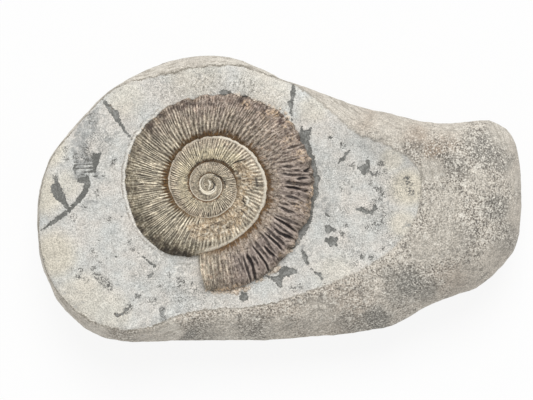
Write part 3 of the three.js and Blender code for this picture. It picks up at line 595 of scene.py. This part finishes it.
def growAmmonite(material):
    knots, perTurn = np.array(shell["ribKnots"]), np.array(shell["ribsPerTurn"])
    ribsBetween = -np.diff(knots) * perTurn
    ribCount = np.concatenate([[0], np.cumsum(ribsBetween)])
    stationCount = np.concatenate([[0], np.cumsum(ribsBetween * shell["stationsPerRib"])])

    # a flat grid, rolled into a closed tube
    bm = bmesh.new()
    bmesh.ops.create_grid(bm, x_segments=int(stationCount[-1]), y_segments=shell["points"], size=0.5)
    alongLayer = bm.verts.layers.float.new("along")
    acrossLayer = bm.verts.layers.float.new("across")
    for vert in bm.verts:
        vert[alongLayer], vert[acrossLayer] = vert.co.x + 0.5, 2 * vert.co.y
        turn = 2 * math.pi * vert.co.y
        vert.co = (vert.co.x * 10, math.cos(turn), math.sin(turn))
    bmesh.ops.remove_doubles(bm, verts=bm.verts, dist=1e-5)
    bmesh.ops.holes_fill(bm, edges=[line for line in bm.edges if line.is_boundary], sides=0)
    bmesh.ops.recalc_face_normals(bm, faces=bm.faces)
    mesh = bpy.data.meshes.new("ammoniteSkin")
    bm.to_mesh(mesh)
    bm.free()
    along, across = (np.zeros(len(mesh.vertices)) for _ in range(2))
    mesh.attributes["along"].data.foreach_get("value", along)
    mesh.attributes["across"].data.foreach_get("value", across)

    # where each station is on the spiral
    rib = np.interp(along * stationCount[-1], stationCount, ribCount)
    turns = np.interp(rib, ribCount, knots)
    last = ease(-turns, 0.25, 0.29)  # 1 on the last whorl, which laps the others
    kept = {}
    for name, values in lastWhorl.items():
        if name != "direction":
            kept[name] = np.interp(turns * 360, np.array(lastWhorl["direction"]) - 360, values)

    def blend(lastValue, innerValue):
        return innerValue + last * (lastValue - innerValue)

    # the whorl's section: bottom, inner side, top, outer side and back to the bottom
    outer = edgeRadius(turns)
    width = outer - np.where(turns > 3.3, 0, edgeRadius(turns + 1))
    halfWide = width * (1 + coil["bite"]) / 2
    halfThick = np.minimum(coil["thickness"] / 2, 0.3 * width + 0.085 * outer)
    turn = math.pi / 2 - math.pi * np.sign(across) * np.abs(across) ** 1.35
    wide = np.sign(np.cos(turn)) * np.abs(np.cos(turn)) ** 0.85
    high = np.sign(np.sin(turn)) * np.abs(np.sin(turn)) ** 0.85
    share = (wide + 1) / 2  # 0 at the inner seam, 1 at the outer edge
    above = ease(high, -0.35, 0.15)

    angle = (turns - blend(kept["lean"], 2.5) / 360 * share ** 1.6) * 2 * math.pi
    outer = outer + last * raggedRim(angle)
    radius = outer - halfWide + halfWide * wide
    base = np.stack([coil["x"] + radius * np.cos(angle), coil["y"] + radius * np.sin(angle),
                     coil["z"] + halfThick * high], 1)

    # ribs, each a little different; most split in two over the outer flank of the last whorl
    draw = np.random.default_rng(shell["seed"])
    count = int(ribCount[-1]) + 3
    blade = last * kept["blade"]
    phase = rib + np.interp(rib, np.arange(count), draw.normal(0, 0.14, count))
    phase += (0.16 - 0.08 * blade) * lumps(base, 4.0, 31, 2)
    strength = np.interp(rib, np.arange(count), draw.uniform(0.75, 1.2, count))
    single, double = (0.5 + 0.5 * np.cos(2 * math.pi * times * phase) for times in (1, 2))
    fork = share + 0.14 * lumps(base, 2.2, 37, 1) - kept["fork"]
    split = last * kept["split"] * ease(fork, 0, 0.14)
    wave = single + split * (double - single)

    slit, lipsWithHighlight, shaded = (np.zeros(len(base)) for _ in range(3))
    flank = (last > 0.5) & (above > 0.2) & (blade > 0)
    for line, halfWidth, depth in slits:
        off = offLine(base[flank], line, 1.25 * halfWidth)
        dark = 0.3 + 0.7 * depth
        slit[flank] = np.maximum(slit[flank], dark * (1 - ease(off, -0.02, 0.22)))
        # the lips beside each slit: a low ridge in the relief and a painted highlight in the colour
        lipsWithHighlight[flank] = np.maximum(lipsWithHighlight[flank], dark * ease(off, 0.2, 0.4) * (1 - ease(off, 0.5, 0.8)))
        shaded[flank] = np.maximum(shaded[flank], dark * (1 - ease(off, 0, 1)))
    lipsWithHighlight *= ease(lumps(base, 1.4, 44, 2), -0.3, 0.1)
    paleLine, darkLine = (np.zeros(len(base)) for _ in range(2))
    inside = (last < 0.5) & (above > 0.2)
    for field, lines in ((paleLine, paleLines), (darkLine, darkLines)):
        for line, halfWidth, strong in lines:
            off = offLine(base[inside], line, halfWidth)
            field[inside] = np.maximum(field[inside], strong * (1 - ease(off, -0.05, 0.2)))

    worn = np.minimum(*[outsideBy(base, np.array(outline)) for outline in wornThrough.values()])
    eroded = (1 - ease(worn + 1.1 * lumps(base, 2.0, 32, 3), -0.5, 0.4)) * (turns < 0.73) * ease(turns, -0.42, -0.36)
    crusted = soft(base, crusts) * ease(lumps(base, 2.0, 33, 2), -0.35, 0.2) * ease(share, 0.3, 0.6)
    ribHeight = blend(kept["ribHeight"], np.clip(0.03 * outer + 0.03, 0.05, 0.5)) * (turns < 3.4)
    smoothBand = blend(kept["smoothBand"], 0.04)
    fade = ease(share, smoothBand - 0.02, smoothBand + 0.1) * above
    patchy = 0.7 + 0.3 * ease(lumps(base, 3.2, 34, 2), -0.5, 0.1)
    teeth = np.interp(turns, [-0.3, -0.22, 0.12, 0.2], [0.7, 0.7, 0.7, 0]) * (1 - last) * ease(share, 0.5, 0.62)
    bead = lumps(np.stack([rib, share * 5, turns * 0], 1), 1.0, 38, 2)  # lumps that follow the ribs
    ribbed = strength * patchy * (1 - 0.45 * blade) * fade * (1 - 0.9 * eroded) * (1 - 0.7 * crusted)
    onKeel = (1 - last) * ease(share, 1 - 0.16, 1 - 0.12)
    ribbed *= 1 - 0.85 * onKeel
    ribbed *= 0.55 + 0.45 * ease(lumps(base, 1.2, 46, 2), -0.4, 0.15)
    ribbed *= np.interp(turns, [-0.3, -0.2, 0.1, 0.25, 0.6, 0.75], [1, 0.6, 0.6, 0.8, 0.8, 1])
    ribbed *= 1 - kept["rimFade"] * last * ease(share + 0.1 * lumps(base, 3.0, 47, 2), 0.6, 0.85)
    relief = ribHeight * (1 + 0.6 * teeth) * ribbed * (wave - 0.5)
    relief += 0.12 * lipsWithHighlight - 0.5 * slit - 0.35 * shaded
    relief += blend(0.2, 0.16) * fade * (1 - 0.8 * blade) * (1 - onKeel) * bead * np.clip(outer / 20, 0.2, 1)
    relief += (0.10 + 0.5 * eroded + 0.35 * crusted) * above * lumps(base, 1.0, 12, 2) * np.clip(outer / 20, 0.2, 1)
    relief += last * 0.45 * ease(share, 0.8, 0.97) * above * lumps(base, 2.0, 13, 2)
    relief -= 0.55 * eroded
    relief += 0.3 * onKeel * above
    relief += 0.15 * paleLine - 0.2 * darkLine

    # the first chamber fills the heart of the coil
    heart = 1 - ease(radius, 0.4, shell["bossRadius"])
    relief += np.where(turns > 3.2, 0.3, 0) * heart * above
    outwards = np.stack([np.cos(turn) * np.cos(angle), np.cos(turn) * np.sin(angle), np.sin(turn)], 1)
    writePlaces(mesh, base + outwards * relief[:, None])

    # the grooves between the ribs are darkened: dirt and painted shade
    gap = (1 - wave) ** 1.2 * blend(kept["gapDark"], 0.9) * np.clip(1.2 * ribbed, 0, 1)
    # painted shade on the blades beside the slits
    gap = np.maximum(gap, 0.55 * shaded)
    gap = np.maximum(gap, 0.45 * teeth * ease(1 - wave, 0.6, 0.9) * ease(bead, -0.3, 0.3) * (1 - eroded))
    # painted highlight along the rib crests, less where the shell is browned
    crestHighlight = wave ** 1.5 * np.clip(1.3 * ribbed, 0, 1) * (1 - 0.8 * last * kept["brown"])
    seamWidth = blend(kept["seamWidth"], 0.11)
    seamRough = lumps(base, 0.8, 35, 2)
    seamLine = 1 - ease(share + (0.06 + 0.04 * last) * seamRough, seamWidth * 0.88, seamWidth * 1.06)
    seam = seamLine * above * blend(kept["seamDark"], 0.8) * (1 - 0.9 * eroded)
    keelPlace = np.interp(turns, [-0.3, 0.2, 0.26, 0.4, 0.45, 0.88, 0.97, 1.4, 1.5, 1.9, 2.1, 2.35, 2.45, 2.95, 3.05],
                          [1, 1, 0.5, 0.4, 1, 1, 0.2, 0.3, 0.8, 0.8, 0.3, 0.4, 1, 1, 0])
    keelRough = share + 0.02 * lumps(base, 1.5, 42, 2)
    keelWide = np.clip(0.065 * width, 0.38, 0.62)
    inset = 0.04 + 0.05 / width  # the outermost strip is under the next whorl
    keelSide = (keelRough - 1) * width + inset * width  # mm past the keel's outer edge
    keel = ease(keelSide, -0.15 - keelWide, 0.05 - keelWide) * (1 - ease(keelSide, -0.1, 0.1)) * keelPlace * (1 - last) * above
    groove = ease(keelSide + keelWide, -0.65, -0.45) * (1 - ease(keelSide + keelWide, -0.3, -0.1)) * ease(lumps(base, 1.8, 45, 2), -0.2, 0.2)
    # painted shadow line in the groove beside the keel
    gap = np.maximum(gap, 0.6 * groove * keelPlace * (1 - last) * above * (turns < 0.9))
    honey = (1 - last) * ease(share, 0.08, 0.16) * (1 - ease(share + 0.2 * lumps(base, 2.5, 39, 2), 0.45, 0.7))
    fields = {
        "rib": rib,
        "gap": gap,
        "cut": slit,
        "lipsWithHighlight": lipsWithHighlight,
        "paleLine": paleLine,
        "darkLine": darkLine,
        "crestHighlight": crestHighlight,
        "blade": blade * ease(share, smoothBand, smoothBand + 0.1) * (1 - ease(share, 0.85, 0.95)) * (1 - crusted),
        "seam": seam,
        "keel": keel,
        "tarnished": soft(base, tarnish) * above * ease(lumps(base, 1.6, 43, 2), -0.5, 0.2),
        "share": share,
        "bead": bead,
        "purple": blend(kept["purple"], 0.1) * ease(share + 0.2 * lumps(base, 3.0, 40, 2), 0.3, 0.8),
        "olive": last * kept["olive"] * ease(share + 0.14 * lumps(base, 3.0, 36, 2), 0.5, 0.8),
        "rust": (blend(kept["rust"], 0.12) + 0.4 * crusted + 0.2 * eroded) * (1 - 0.8 * blade),
        "eroded": eroded,
        "crusted": crusted,
        "brown": last * kept["brown"],
        "band": last * (1 - ease(share, smoothBand - 0.06, smoothBand + 0.06)) * ease(smoothBand, 0.04, 0.2),
        "teeth": 0.6 * teeth * ease(wave, 0.4, 0.8) * ease(bead, -0.5, 0.1),
        "honey": honey * np.interp(turns, [0, 0.08, 0.55, 0.75, 1.0], [0, 0.8, 0.6, 0.3, 0.1]),
        "heart": np.maximum(1 - ease(outer, 2.6, 3.3), 0.6 * (1 - ease(outer, 5, 8))),
        "inner": (1 - ease(outer, 19.5, 23)) * (1 - last),
    }
    for name, values in fields.items():
        storeField(mesh, name, values)
    print("ammonite skin:", len(mesh.vertices), "points,", sum(len(face.vertices) - 2 for face in mesh.polygons), "triangles")
    return newPiece("ammoniteShell", mesh, material, "ammonite")


# ---- materials

def emptyMaterial(name):
    material = bpy.data.materials.new(name)
    material.use_nodes = True
    tree = material.node_tree
    tree.nodes.clear()
    place = addNode(tree, "ShaderNodeTexCoord").outputs["Object"]
    place = addNode(tree, "ShaderNodeMapping", {"Scale": (1000, 1000, 1000)}, {"Vector": place}).outputs[0]  # in mm
    return material, tree, place


def laySockets(tree, sockets, noises, fields, masks, products):
    # noises: size in mm, detail, roughness; masks: source, low, high, value at low, value at high
    for name, (size, detail, rough, space) in noises.items():
        settings = {"Scale": 1 / size, "Detail": detail, "Roughness": rough}
        sockets[name] = addNode(tree, "ShaderNodeTexNoise", settings, {"Vector": sockets[space]}).outputs[0]
    for name in fields:
        sockets[name] = addNode(tree, "ShaderNodeAttribute", {"attribute_name": name}).outputs["Fac"]
    for name, (source, factor, other) in masks["sums"].items():
        settings = {"operation": "MULTIPLY_ADD", 1: factor}
        links = {0: sockets[source], 2: sockets[other]}
        sockets[name] = addNode(tree, "ShaderNodeMath", settings, links).outputs[0]
    for name, (source, low, high, least, most) in masks["ranges"].items():
        settings = {"From Min": low, "From Max": high, "To Min": least, "To Max": most}
        sockets[name] = addNode(tree, "ShaderNodeMapRange", settings, {"Value": sockets[source]}).outputs[0]
    for name, (first, second) in products.items():
        links = {0: sockets[first], 1: sockets[second]}
        sockets[name] = addNode(tree, "ShaderNodeMath", {"operation": "MULTIPLY"}, links).outputs[0]


def layColours(tree, sockets, ground, layers):
    # colours laid one over another, each where its mask is
    colour = ground
    for shade, mask in layers:
        settings = {"data_type": "RGBA", 7: linear(shade)}
        colour = addNode(tree, "ShaderNodeMix", settings, {0: sockets[mask], 6: colour}).outputs[2]
    return colour


stoneLook = {
    "face": "#d3cec6",
    "bluish": "#cacbc7",
    "cream": "#d4cdbd",
    "smear": "#9b9c9a",
    "stroke": "#8f8b83",
    "strokeLight": "#e9e5dc",
    "rind": "#c4bcb0",
    "rindPale": "#cdc7bc",
    "rindBed": "#958d81",
    "rindDark": "#85837d",
    "rindBrown": "#a18f7e",
    "rindDeep": "#84807a",
    "grainDark": "#6c675f",
    "grainPale": "#dfdacf",
    "chip": "#949490",
    "chipDark": "#6a6a66",
    "flake": "#6e6d69",
    "chipBrown": "#8a6a48",
    "fleck": "#5d5a54",
    "crumb": "#e2d6c6",
    "crumbRust": "#8d7660",
    "collarDark": "#7a7064",
    "edge": "#7d776c",
}


def limestone():
    # fine-grained limestone, air-abraded on the face: pale, dusty and quite without gloss; the rind is sandier
    material, tree, place = emptyMaterial("limestoneAirAbraded")
    sockets = {"place": place}
    around, away = (addNode(tree, "ShaderNodeAttribute", {"attribute_name": name}).outputs["Fac"]
                    for name in ("around", "away"))
    spoke = addNode(tree, "ShaderNodeCombineXYZ", {}, {"X": around, "Y": away}).outputs[0]
    sockets["spoke"] = addNode(tree, "ShaderNodeMapping", {"Scale": (1, 0.45, 1)}, {"Vector": spoke}).outputs[0]
    rind = addNode(tree, "ShaderNodeAttribute", {"attribute_name": "rind"}).outputs["Fac"]
    bed = addNode(tree, "ShaderNodeCombineXYZ", {}, {"X": rind, "Y": around}).outputs[0]
    sockets["bed"] = addNode(tree, "ShaderNodeMapping", {"Scale": (1, 0.1, 1)}, {"Vector": bed}).outputs[0]
    noises = {
        "grain": (0.45, 0, 0.5, "place"), "speck": (0.8, 2, 0.75, "place"), "mottle": (2.6, 3, 0.7, "place"),
        "sand": (0.6, 2, 0.6, "place"), "cloud": (11, 3, 0.6, "place"), "ragged": (0.5, 2, 0.6, "place"), "blotch": (2.2, 2, 0.5, "place"),
        "flakes": (1.3, 3, 0.75, "place"), "strokes": (0.8, 2, 0.6, "spoke"), "beds": (0.7, 2, 0.6, "bed"),
    }
    fields = ["rind", "chip", "away", "smeared", "warm", "dark", "pale", "brown", "crumbed", "collar", "chiselled",
              "grainy", "crumb", "flaky", "outlined", "gloomy"]
    masks = {
        "sums": {
            "raggedChip": ("ragged", 1.1, "chip"),
            "raggedRind": ("ragged", 1.3, "rind"),
            "raggedAway": ("ragged", 0.8, "away"),
            "smearSum": ("smeared", 0.35, "blotch"),
            "flakyOver": ("flaky", 0.1, "flakes"),
            "flakyUnder": ("flaky", -0.1, "flakes"),
        },
        "ranges": {
            "tint": ("cloud", 0.35, 0.65, 0, 1),
            "chipIn": ("raggedChip", 0.66, 0.5, 0, 1),
            "flakyHigh": ("flakyOver", 0.5, 0.52, 0, 1),
            "flakyLow": ("flakyUnder", 0.5, 0.48, 0, 1),
            "flakyBroken": ("speck", 0.45, 0.5, 0, 0.95),
            "chipDeep": ("mottle", 0.46, 0.54, 0, 0.85),
            # painted shade: a darker band just inside each flake's edge
            "chipRimShade": ("raggedChip", 0.25, 0.5, 0, 0.8),
            "rindIn": ("raggedRind", 0.3, 1.2, 0, 1),
            "smear": ("smearSum", 0.62, 0.85, 0, 0.8),
            "strokeDark": ("strokes", 0.55, 0.61, 0, 0.75),
            "strokePale": ("strokes", 0.45, 0.39, 0, 0.8),
            "offShell": ("away", -0.1, 0.5, 0, 1),
            "darkGrain": ("sand", 0.47, 0.36, 0, 1),
            "paleGrain": ("sand", 0.54, 0.64, 0, 1),
            "pit": ("speck", 0.37, 0.33, 0, 0.55),
            "edgeA": ("raggedRind", 0.35, 0.6, 0, 1),
            "edgeB": ("raggedRind", 1.15, 0.85, 0, 1),
            "edgeBroken": ("mottle", 0.38, 0.52, 0, 0.85),
            "collarBroken": ("mottle", 0.46, 0.56, 0, 0.6),
            "paleBlotch": ("blotch", 0.60, 0.68, 0, 0.6),
            "darkBlotch": ("mottle", 0.46, 0.36, 0, 0.5),
            "cloudDark": ("cloud", 0.5, 0.38, 0, 0.4),
            "midPale": ("flakes", 0.55, 0.63, 0, 0.55),
            "midDark": ("flakes", 0.45, 0.37, 0, 0.6),
            "bedding": ("beds", 0.5, 0.4, 0, 0.7),
            "fineCrumbs": ("crumbed", 0.2, 0.8, 0, 0.8),
            "crumbBroken": ("speck", 0.45, 0.55, 0, 1),
            "crumbRust": ("speck", 0.48, 0.4, 0, 0.7),
            "lineA": ("raggedAway", 1.1, 1.3, 0, 1),
            "lineB": ("raggedAway", 1.9, 1.6, 0, 1),
            "ringA": ("raggedAway", 0.25, 0.4, 0, 1),
            "ringB": ("raggedAway", 1.0, 0.8, 0, 0.8),
            "wobble": ("grain", 0.3, 0.7, 0.79, 1.21),
            "drift": ("mottle", 0.35, 0.65, 0.89, 1.11),
        },
    }
    products = {
        "flakyLine": ("flakyHigh", "flakyLow"),
        "flakyIn": ("flakyLine", "flakyBroken"),
        "strokeIn": ("strokeDark", "chiselled"),
        "strokeLight": ("strokePale", "chiselled"),
        "chipBrownIn": ("chipIn", "brown"),
        "chipStain": ("chipBrownIn", "chipDeep"),
        "chipShade": ("chipIn", "chipDeep"),
        # painted shade along the inner edge of each flake, in the chipDark colour
        "chipEdgeShade": ("chipIn", "chipRimShade"),
        "chipGloom": ("chipIn", "gloomy"),
        "rindPale": ("rindIn", "pale"),
        "rindDark": ("rindIn", "dark"),
        "rindBrown": ("rindIn", "brown"),
        "paleBeds": ("bedding", "rindPale"),
        "rindRough": ("rindIn", "grainy"),
        "rindDarkGrain": ("rindRough", "darkGrain"),
        "rindPaleGrain": ("rindRough", "paleGrain"),
        "rindBlotch": ("rindRough", "paleBlotch"),
        "crumbIn": ("fineCrumbs", "crumbBroken"),
        "rindShade": ("rindRough", "darkBlotch"),
        "rindCloud": ("rindRough", "cloudDark"),
        "rindMidPale": ("rindRough", "midPale"),
        "rindMidDark": ("rindRough", "midDark"),
        "crumbStain": ("crumb", "crumbRust"),
        "line": ("lineA", "lineB"),
        "lineBroken": ("line", "collarBroken"),
        "collarLine": ("lineBroken", "collar"),
        "paleRing": ("ringA", "ringB"),
        # painted highlight: a pale line along the top of the raised collar
        "collarHighlight": ("paleRing", "collar"),
        "edge": ("edgeA", "edgeB"),
        "edgeShort": ("edge", "edgeBroken"),
        "edgeLine": ("edgeShort", "outlined"),
        "value": ("wobble", "drift"),
    }
    laySockets(tree, sockets, noises, fields, masks, products)
    ground = addNode(tree, "ShaderNodeMix", {"data_type": "RGBA", 6: linear(stoneLook["bluish"]),
                                             7: linear(stoneLook["face"])}, {0: sockets["tint"]}).outputs[2]
    layers = [("cream", "warm"), ("smear", "smear"), ("stroke", "strokeIn"), ("strokeLight", "strokeLight"),
              ("fleck", "pit"), ("flake", "flakyIn"), ("chip", "chipIn"), ("chipDark", "chipShade"), ("chipDark", "chipEdgeShade"),
              ("chipDark", "chipGloom"), ("chipBrown", "chipStain"), ("rind", "rindIn"), ("rindBrown", "rindBrown"), ("rindDark", "rindDark"),
              ("rindDeep", "rindShade"), ("rindDeep", "rindCloud"),
              ("rindDeep", "rindMidDark"), ("rindPale", "rindMidPale"), ("grainDark", "rindDarkGrain"), ("grainPale", "rindPaleGrain"), ("rindPale", "rindPale"),
              ("rindBed", "paleBeds"), ("grainPale", "rindBlotch"), ("edge", "edgeLine"), ("crumb", "crumbIn"),
              # the collar gets a painted highlight in the chisel strokes' pale colour
              ("strokeLight", "collarHighlight"), ("collarDark", "collarLine"), ("crumb", "crumb"), ("crumbRust", "crumbStain")]
    colour = layColours(tree, sockets, ground, [(stoneLook[shade], mask) for shade, mask in layers])
    colour = addNode(tree, "ShaderNodeHueSaturation", {}, {"Value": sockets["value"], "Color": colour}).outputs[0]
    bump = addNode(tree, "ShaderNodeBump", {"Strength": 0.6, "Distance": 0.25 * mm}, {"Height": sockets["speck"]})
    skin = addNode(tree, "ShaderNodeBsdfPrincipled", {"Roughness": 0.92, "IOR": 1.5, "Specular IOR Level": 0.3},
                   {"Base Color": colour, "Normal": bump.outputs[0]})
    addNode(tree, "ShaderNodeOutputMaterial", {}, {"Surface": skin.outputs[0]})
    return material


shellLook = {
    "crest": "#dbcfb6",
    "middle": "#b0a28a",
    # painted highlight on the rib crests
    "crestHighlight": "#efe6cf",
    "brown": "#9d8e7f",
    "purple": "#9f8c81",
    "band": "#7b6e5f",
    "olive": "#7a715b",
    "oliveDark": "#3a3224",
    "inner": "#b4a48f",
    "honey": "#e3d6b1",
    "rust": "#bf9c80",
    "eroded": "#ab977c",
    "erodedPale": "#dfd4be",
    "erodedDark": "#5f4c38",
    "pale": "#e4dac8",
    "crust": "#d3b795",
    # dirt and painted shade in the rib grooves, on the blades and in the keel groove
    "gap": "#2f2419",
    "slit": "#1c1413",
    # painted highlight: the lips beside the slits and the glints on the blades
    "lip": "#cfc0b4",
    "blade": "#8a7d77",
    "seam": "#4c3312",
    "seamRust": "#8a6536",
    "keel": "#faf3e2",
    "heart": "#ab9d86",
    "tarnish": "#54453f",
    "spot": "#4f4030",
}


def fossilShell():
    # shell turned to calcite and stained with iron: matt, with the dull shine on the worn crests painted in as a
    # highlight
    material, tree, place = emptyMaterial("fossilShellCalcite")
    sockets = {"place": place}
    rib, share = (addNode(tree, "ShaderNodeAttribute", {"attribute_name": name}).outputs["Fac"]
                  for name in ("rib", "share"))
    along = addNode(tree, "ShaderNodeCombineXYZ", {}, {"X": rib, "Y": share}).outputs[0]
    sockets["along"] = addNode(tree, "ShaderNodeMapping", {"Scale": (1, 4, 1)}, {"Vector": along}).outputs[0]
    noises = {
        "grain": (0.45, 0, 0.5, "place"), "speck": (0.8, 2, 0.75, "place"), "mottle": (1.7, 3, 0.7, "place"),
        "streak": (0.7, 1, 0.6, "along"), "hair": (0.3, 1, 0.5, "along"), "cloud": (5, 2, 0.5, "place"),
    }
    fields = ["gap", "cut", "seam", "keel", "purple", "olive", "rust", "eroded", "crusted", "brown", "tarnished",
              "heart", "inner", "bead", "band", "honey", "teeth", "lipsWithHighlight", "blade", "crestHighlight", "paleLine", "darkLine"]
    masks = {
        "sums": {},
        "ranges": {
            "tone": ("mottle", 0.38, 0.62, 0, 1),
            "rustSpot": ("mottle", 0.55, 0.63, 0, 0.55),
            "paleSpot": ("mottle", 0.51, 0.57, 0, 0.55),
            "deepSpot": ("speck", 0.46, 0.38, 0, 0.8),
            "paleCrumb": ("speck", 0.57, 0.65, 0, 0.6),
            "darkSpot": ("speck", 0.43, 0.35, 0, 0.7),
            "oliveSpot": ("speck", 0.5, 0.4, 0, 0.6),
            "crustSpot": ("speck", 0.44, 0.54, 0, 1),
            "seamSpot": ("speck", 0.5, 0.58, 0, 0.7),
            "bandClean": ("band", 0, 1, 0, 0.3),
            "bladeClean": ("blade", 0, 1, 0, 0.65),
            "crestHighlightIn": ("crestHighlight", 0, 1, 0, 0.75),
            "lipHighlightIn": ("lipsWithHighlight", 0, 1, 0, 0.75),
            "hairDark": ("hair", 0.42, 0.34, 0, 0.75),
            "hairPale": ("hair", 0.58, 0.66, 0, 0.6),
            "wobble": ("grain", 0.3, 0.7, 0.72, 1.28),
            "streaks": ("streak", 0.33, 0.67, 0.68, 1.32),
            "beads": ("bead", -0.5, 0.5, 0.76, 1.24),
            "drift": ("cloud", 0.35, 0.65, 0.9, 1.1),
        },
    }
    products = {
        "rustIn": ("rustSpot", "rust"),
        "bladeLine": ("hairDark", "brown"),
        "bladeGlint": ("hairPale", "brown"),
        "erodedPale": ("paleSpot", "eroded"),
        "erodedDark": ("deepSpot", "eroded"),
        "seamSpeck": ("seamSpot", "seam"),
        "oliveDark": ("oliveSpot", "olive"),
        "oliveDeep": ("tarnished", "olive"),
        "crustIn": ("crustSpot", "crusted"),
        "fineValue": ("wobble", "streaks"),
        "coarseValue": ("beads", "drift"),
        "value": ("fineValue", "coarseValue"),
    }
    laySockets(tree, sockets, noises, fields, masks, products)
    ground = addNode(tree, "ShaderNodeMix", {"data_type": "RGBA", 6: linear(shellLook["crest"]),
                                             7: linear(shellLook["middle"])}, {0: sockets["tone"]}).outputs[2]
    layers = [("inner", "inner"), ("honey", "honey"), ("brown", "brown"), ("purple", "purple"), ("eroded", "eroded"),
              ("olive", "olive"), ("pale", "paleCrumb"), ("spot", "darkSpot"), ("rust", "rustIn"),
              ("erodedPale", "erodedPale"), ("erodedDark", "erodedDark"), ("pale", "teeth"), ("heart", "heart"),
              ("crestHighlight", "crestHighlightIn"), ("tarnish", "tarnished"), ("oliveDark", "oliveDeep"), ("gap", "gap"), ("oliveDark", "oliveDark"),
              ("crust", "crustIn")]
    colour = layColours(tree, sockets, ground, [(shellLook[shade], mask) for shade, mask in layers])
    colour = addNode(tree, "ShaderNodeHueSaturation", {}, {"Value": sockets["value"], "Color": colour}).outputs[0]
    # these are cleaner, with little or no mottling over them
    lines = [("band", "bandClean"), ("blade", "bladeClean"), ("gap", "bladeLine"), ("lip", "bladeGlint"),
             ("lip", "lipHighlightIn"), ("slit", "cut"), ("keel", "keel"), ("seam", "seam"), ("seamRust", "seamSpeck"),
             ("keel", "paleLine"),
             ("slit", "darkLine")]
    colour = layColours(tree, sockets, colour, [(shellLook[shade], mask) for shade, mask in lines])
    bump = addNode(tree, "ShaderNodeBump", {"Strength": 0.8, "Distance": 0.3 * mm}, {"Height": sockets["speck"]})
    skin = addNode(tree, "ShaderNodeBsdfPrincipled", {"Roughness": 0.7, "IOR": 1.55, "Specular IOR Level": 0.4},
                   {"Base Color": colour, "Normal": bump.outputs[0]})
    addNode(tree, "ShaderNodeOutputMaterial", {}, {"Surface": skin.outputs[0]})
    return material


# ---- floor, light and camera

studio = {
    "floorSize": 3.0,
    "floorGlow": 0.86,
    "sky": 0.6,
    "key": 1.75,
    "keyDirection": (0.05, 0.7, 1.0),  # where the light comes from
    "keySoftness": 32,  # degrees
    "lens": 200,
    "frameWidth": 0.1919,  # metres seen across at belly height
    "aim": (-0.0045, -0.0004, 0.018),
}


def setStudio():
    scene = bpy.context.scene
    bm = bmesh.new()
    bmesh.ops.create_grid(bm, x_segments=1, y_segments=1, size=studio["floorSize"] / 2)
    mesh = bpy.data.meshes.new("floor")
    bm.to_mesh(mesh)
    bm.free()
    floor = bpy.data.objects.new("floor", mesh)
    scene.collection.objects.link(floor)
    paper = bpy.data.materials.new("paperWhite")
    paper.use_nodes = True
    skin = paper.node_tree.nodes["Principled BSDF"]
    for name, value in {"Base Color": linear("#5c5c5c"), "Roughness": 0.9, "Emission Color": linear("#ffffff"),
                        "Emission Strength": studio["floorGlow"]}.items():
        skin.inputs[name].default_value = value
    mesh.materials.append(paper)

    world = bpy.data.worlds.new("studioSky")
    world.use_nodes = True
    world.node_tree.nodes["Background"].inputs["Color"].default_value = (1, 1, 1, 1)
    world.node_tree.nodes["Background"].inputs["Strength"].default_value = studio["sky"]
    scene.world = world
    key = bpy.data.lights.new("key", "SUN")
    key.energy = studio["key"]
    key.angle = math.radians(studio["keySoftness"])
    lamp = bpy.data.objects.new("key", key)
    lamp.rotation_euler = Vector(studio["keyDirection"]).to_track_quat("Z", "Y").to_euler()
    scene.collection.objects.link(lamp)

    camera = bpy.data.objects.new("camera", bpy.data.cameras.new("camera"))
    camera.data.lens = studio["lens"]
    away = studio["frameWidth"] * studio["lens"] / camera.data.sensor_width
    x, y, z = studio["aim"]
    camera.location = (x, y, z + away)
    camera.data.clip_end = 10
    scene.collection.objects.link(camera)
    scene.camera = camera
    scene.view_settings.view_transform = "Standard"
    print("studio: camera", round(away, 3), "m above the stone")


setStudio()
growNodule(limestone())
print("nodule done")
growAmmonite(fossilShell())
print("ammonite done")
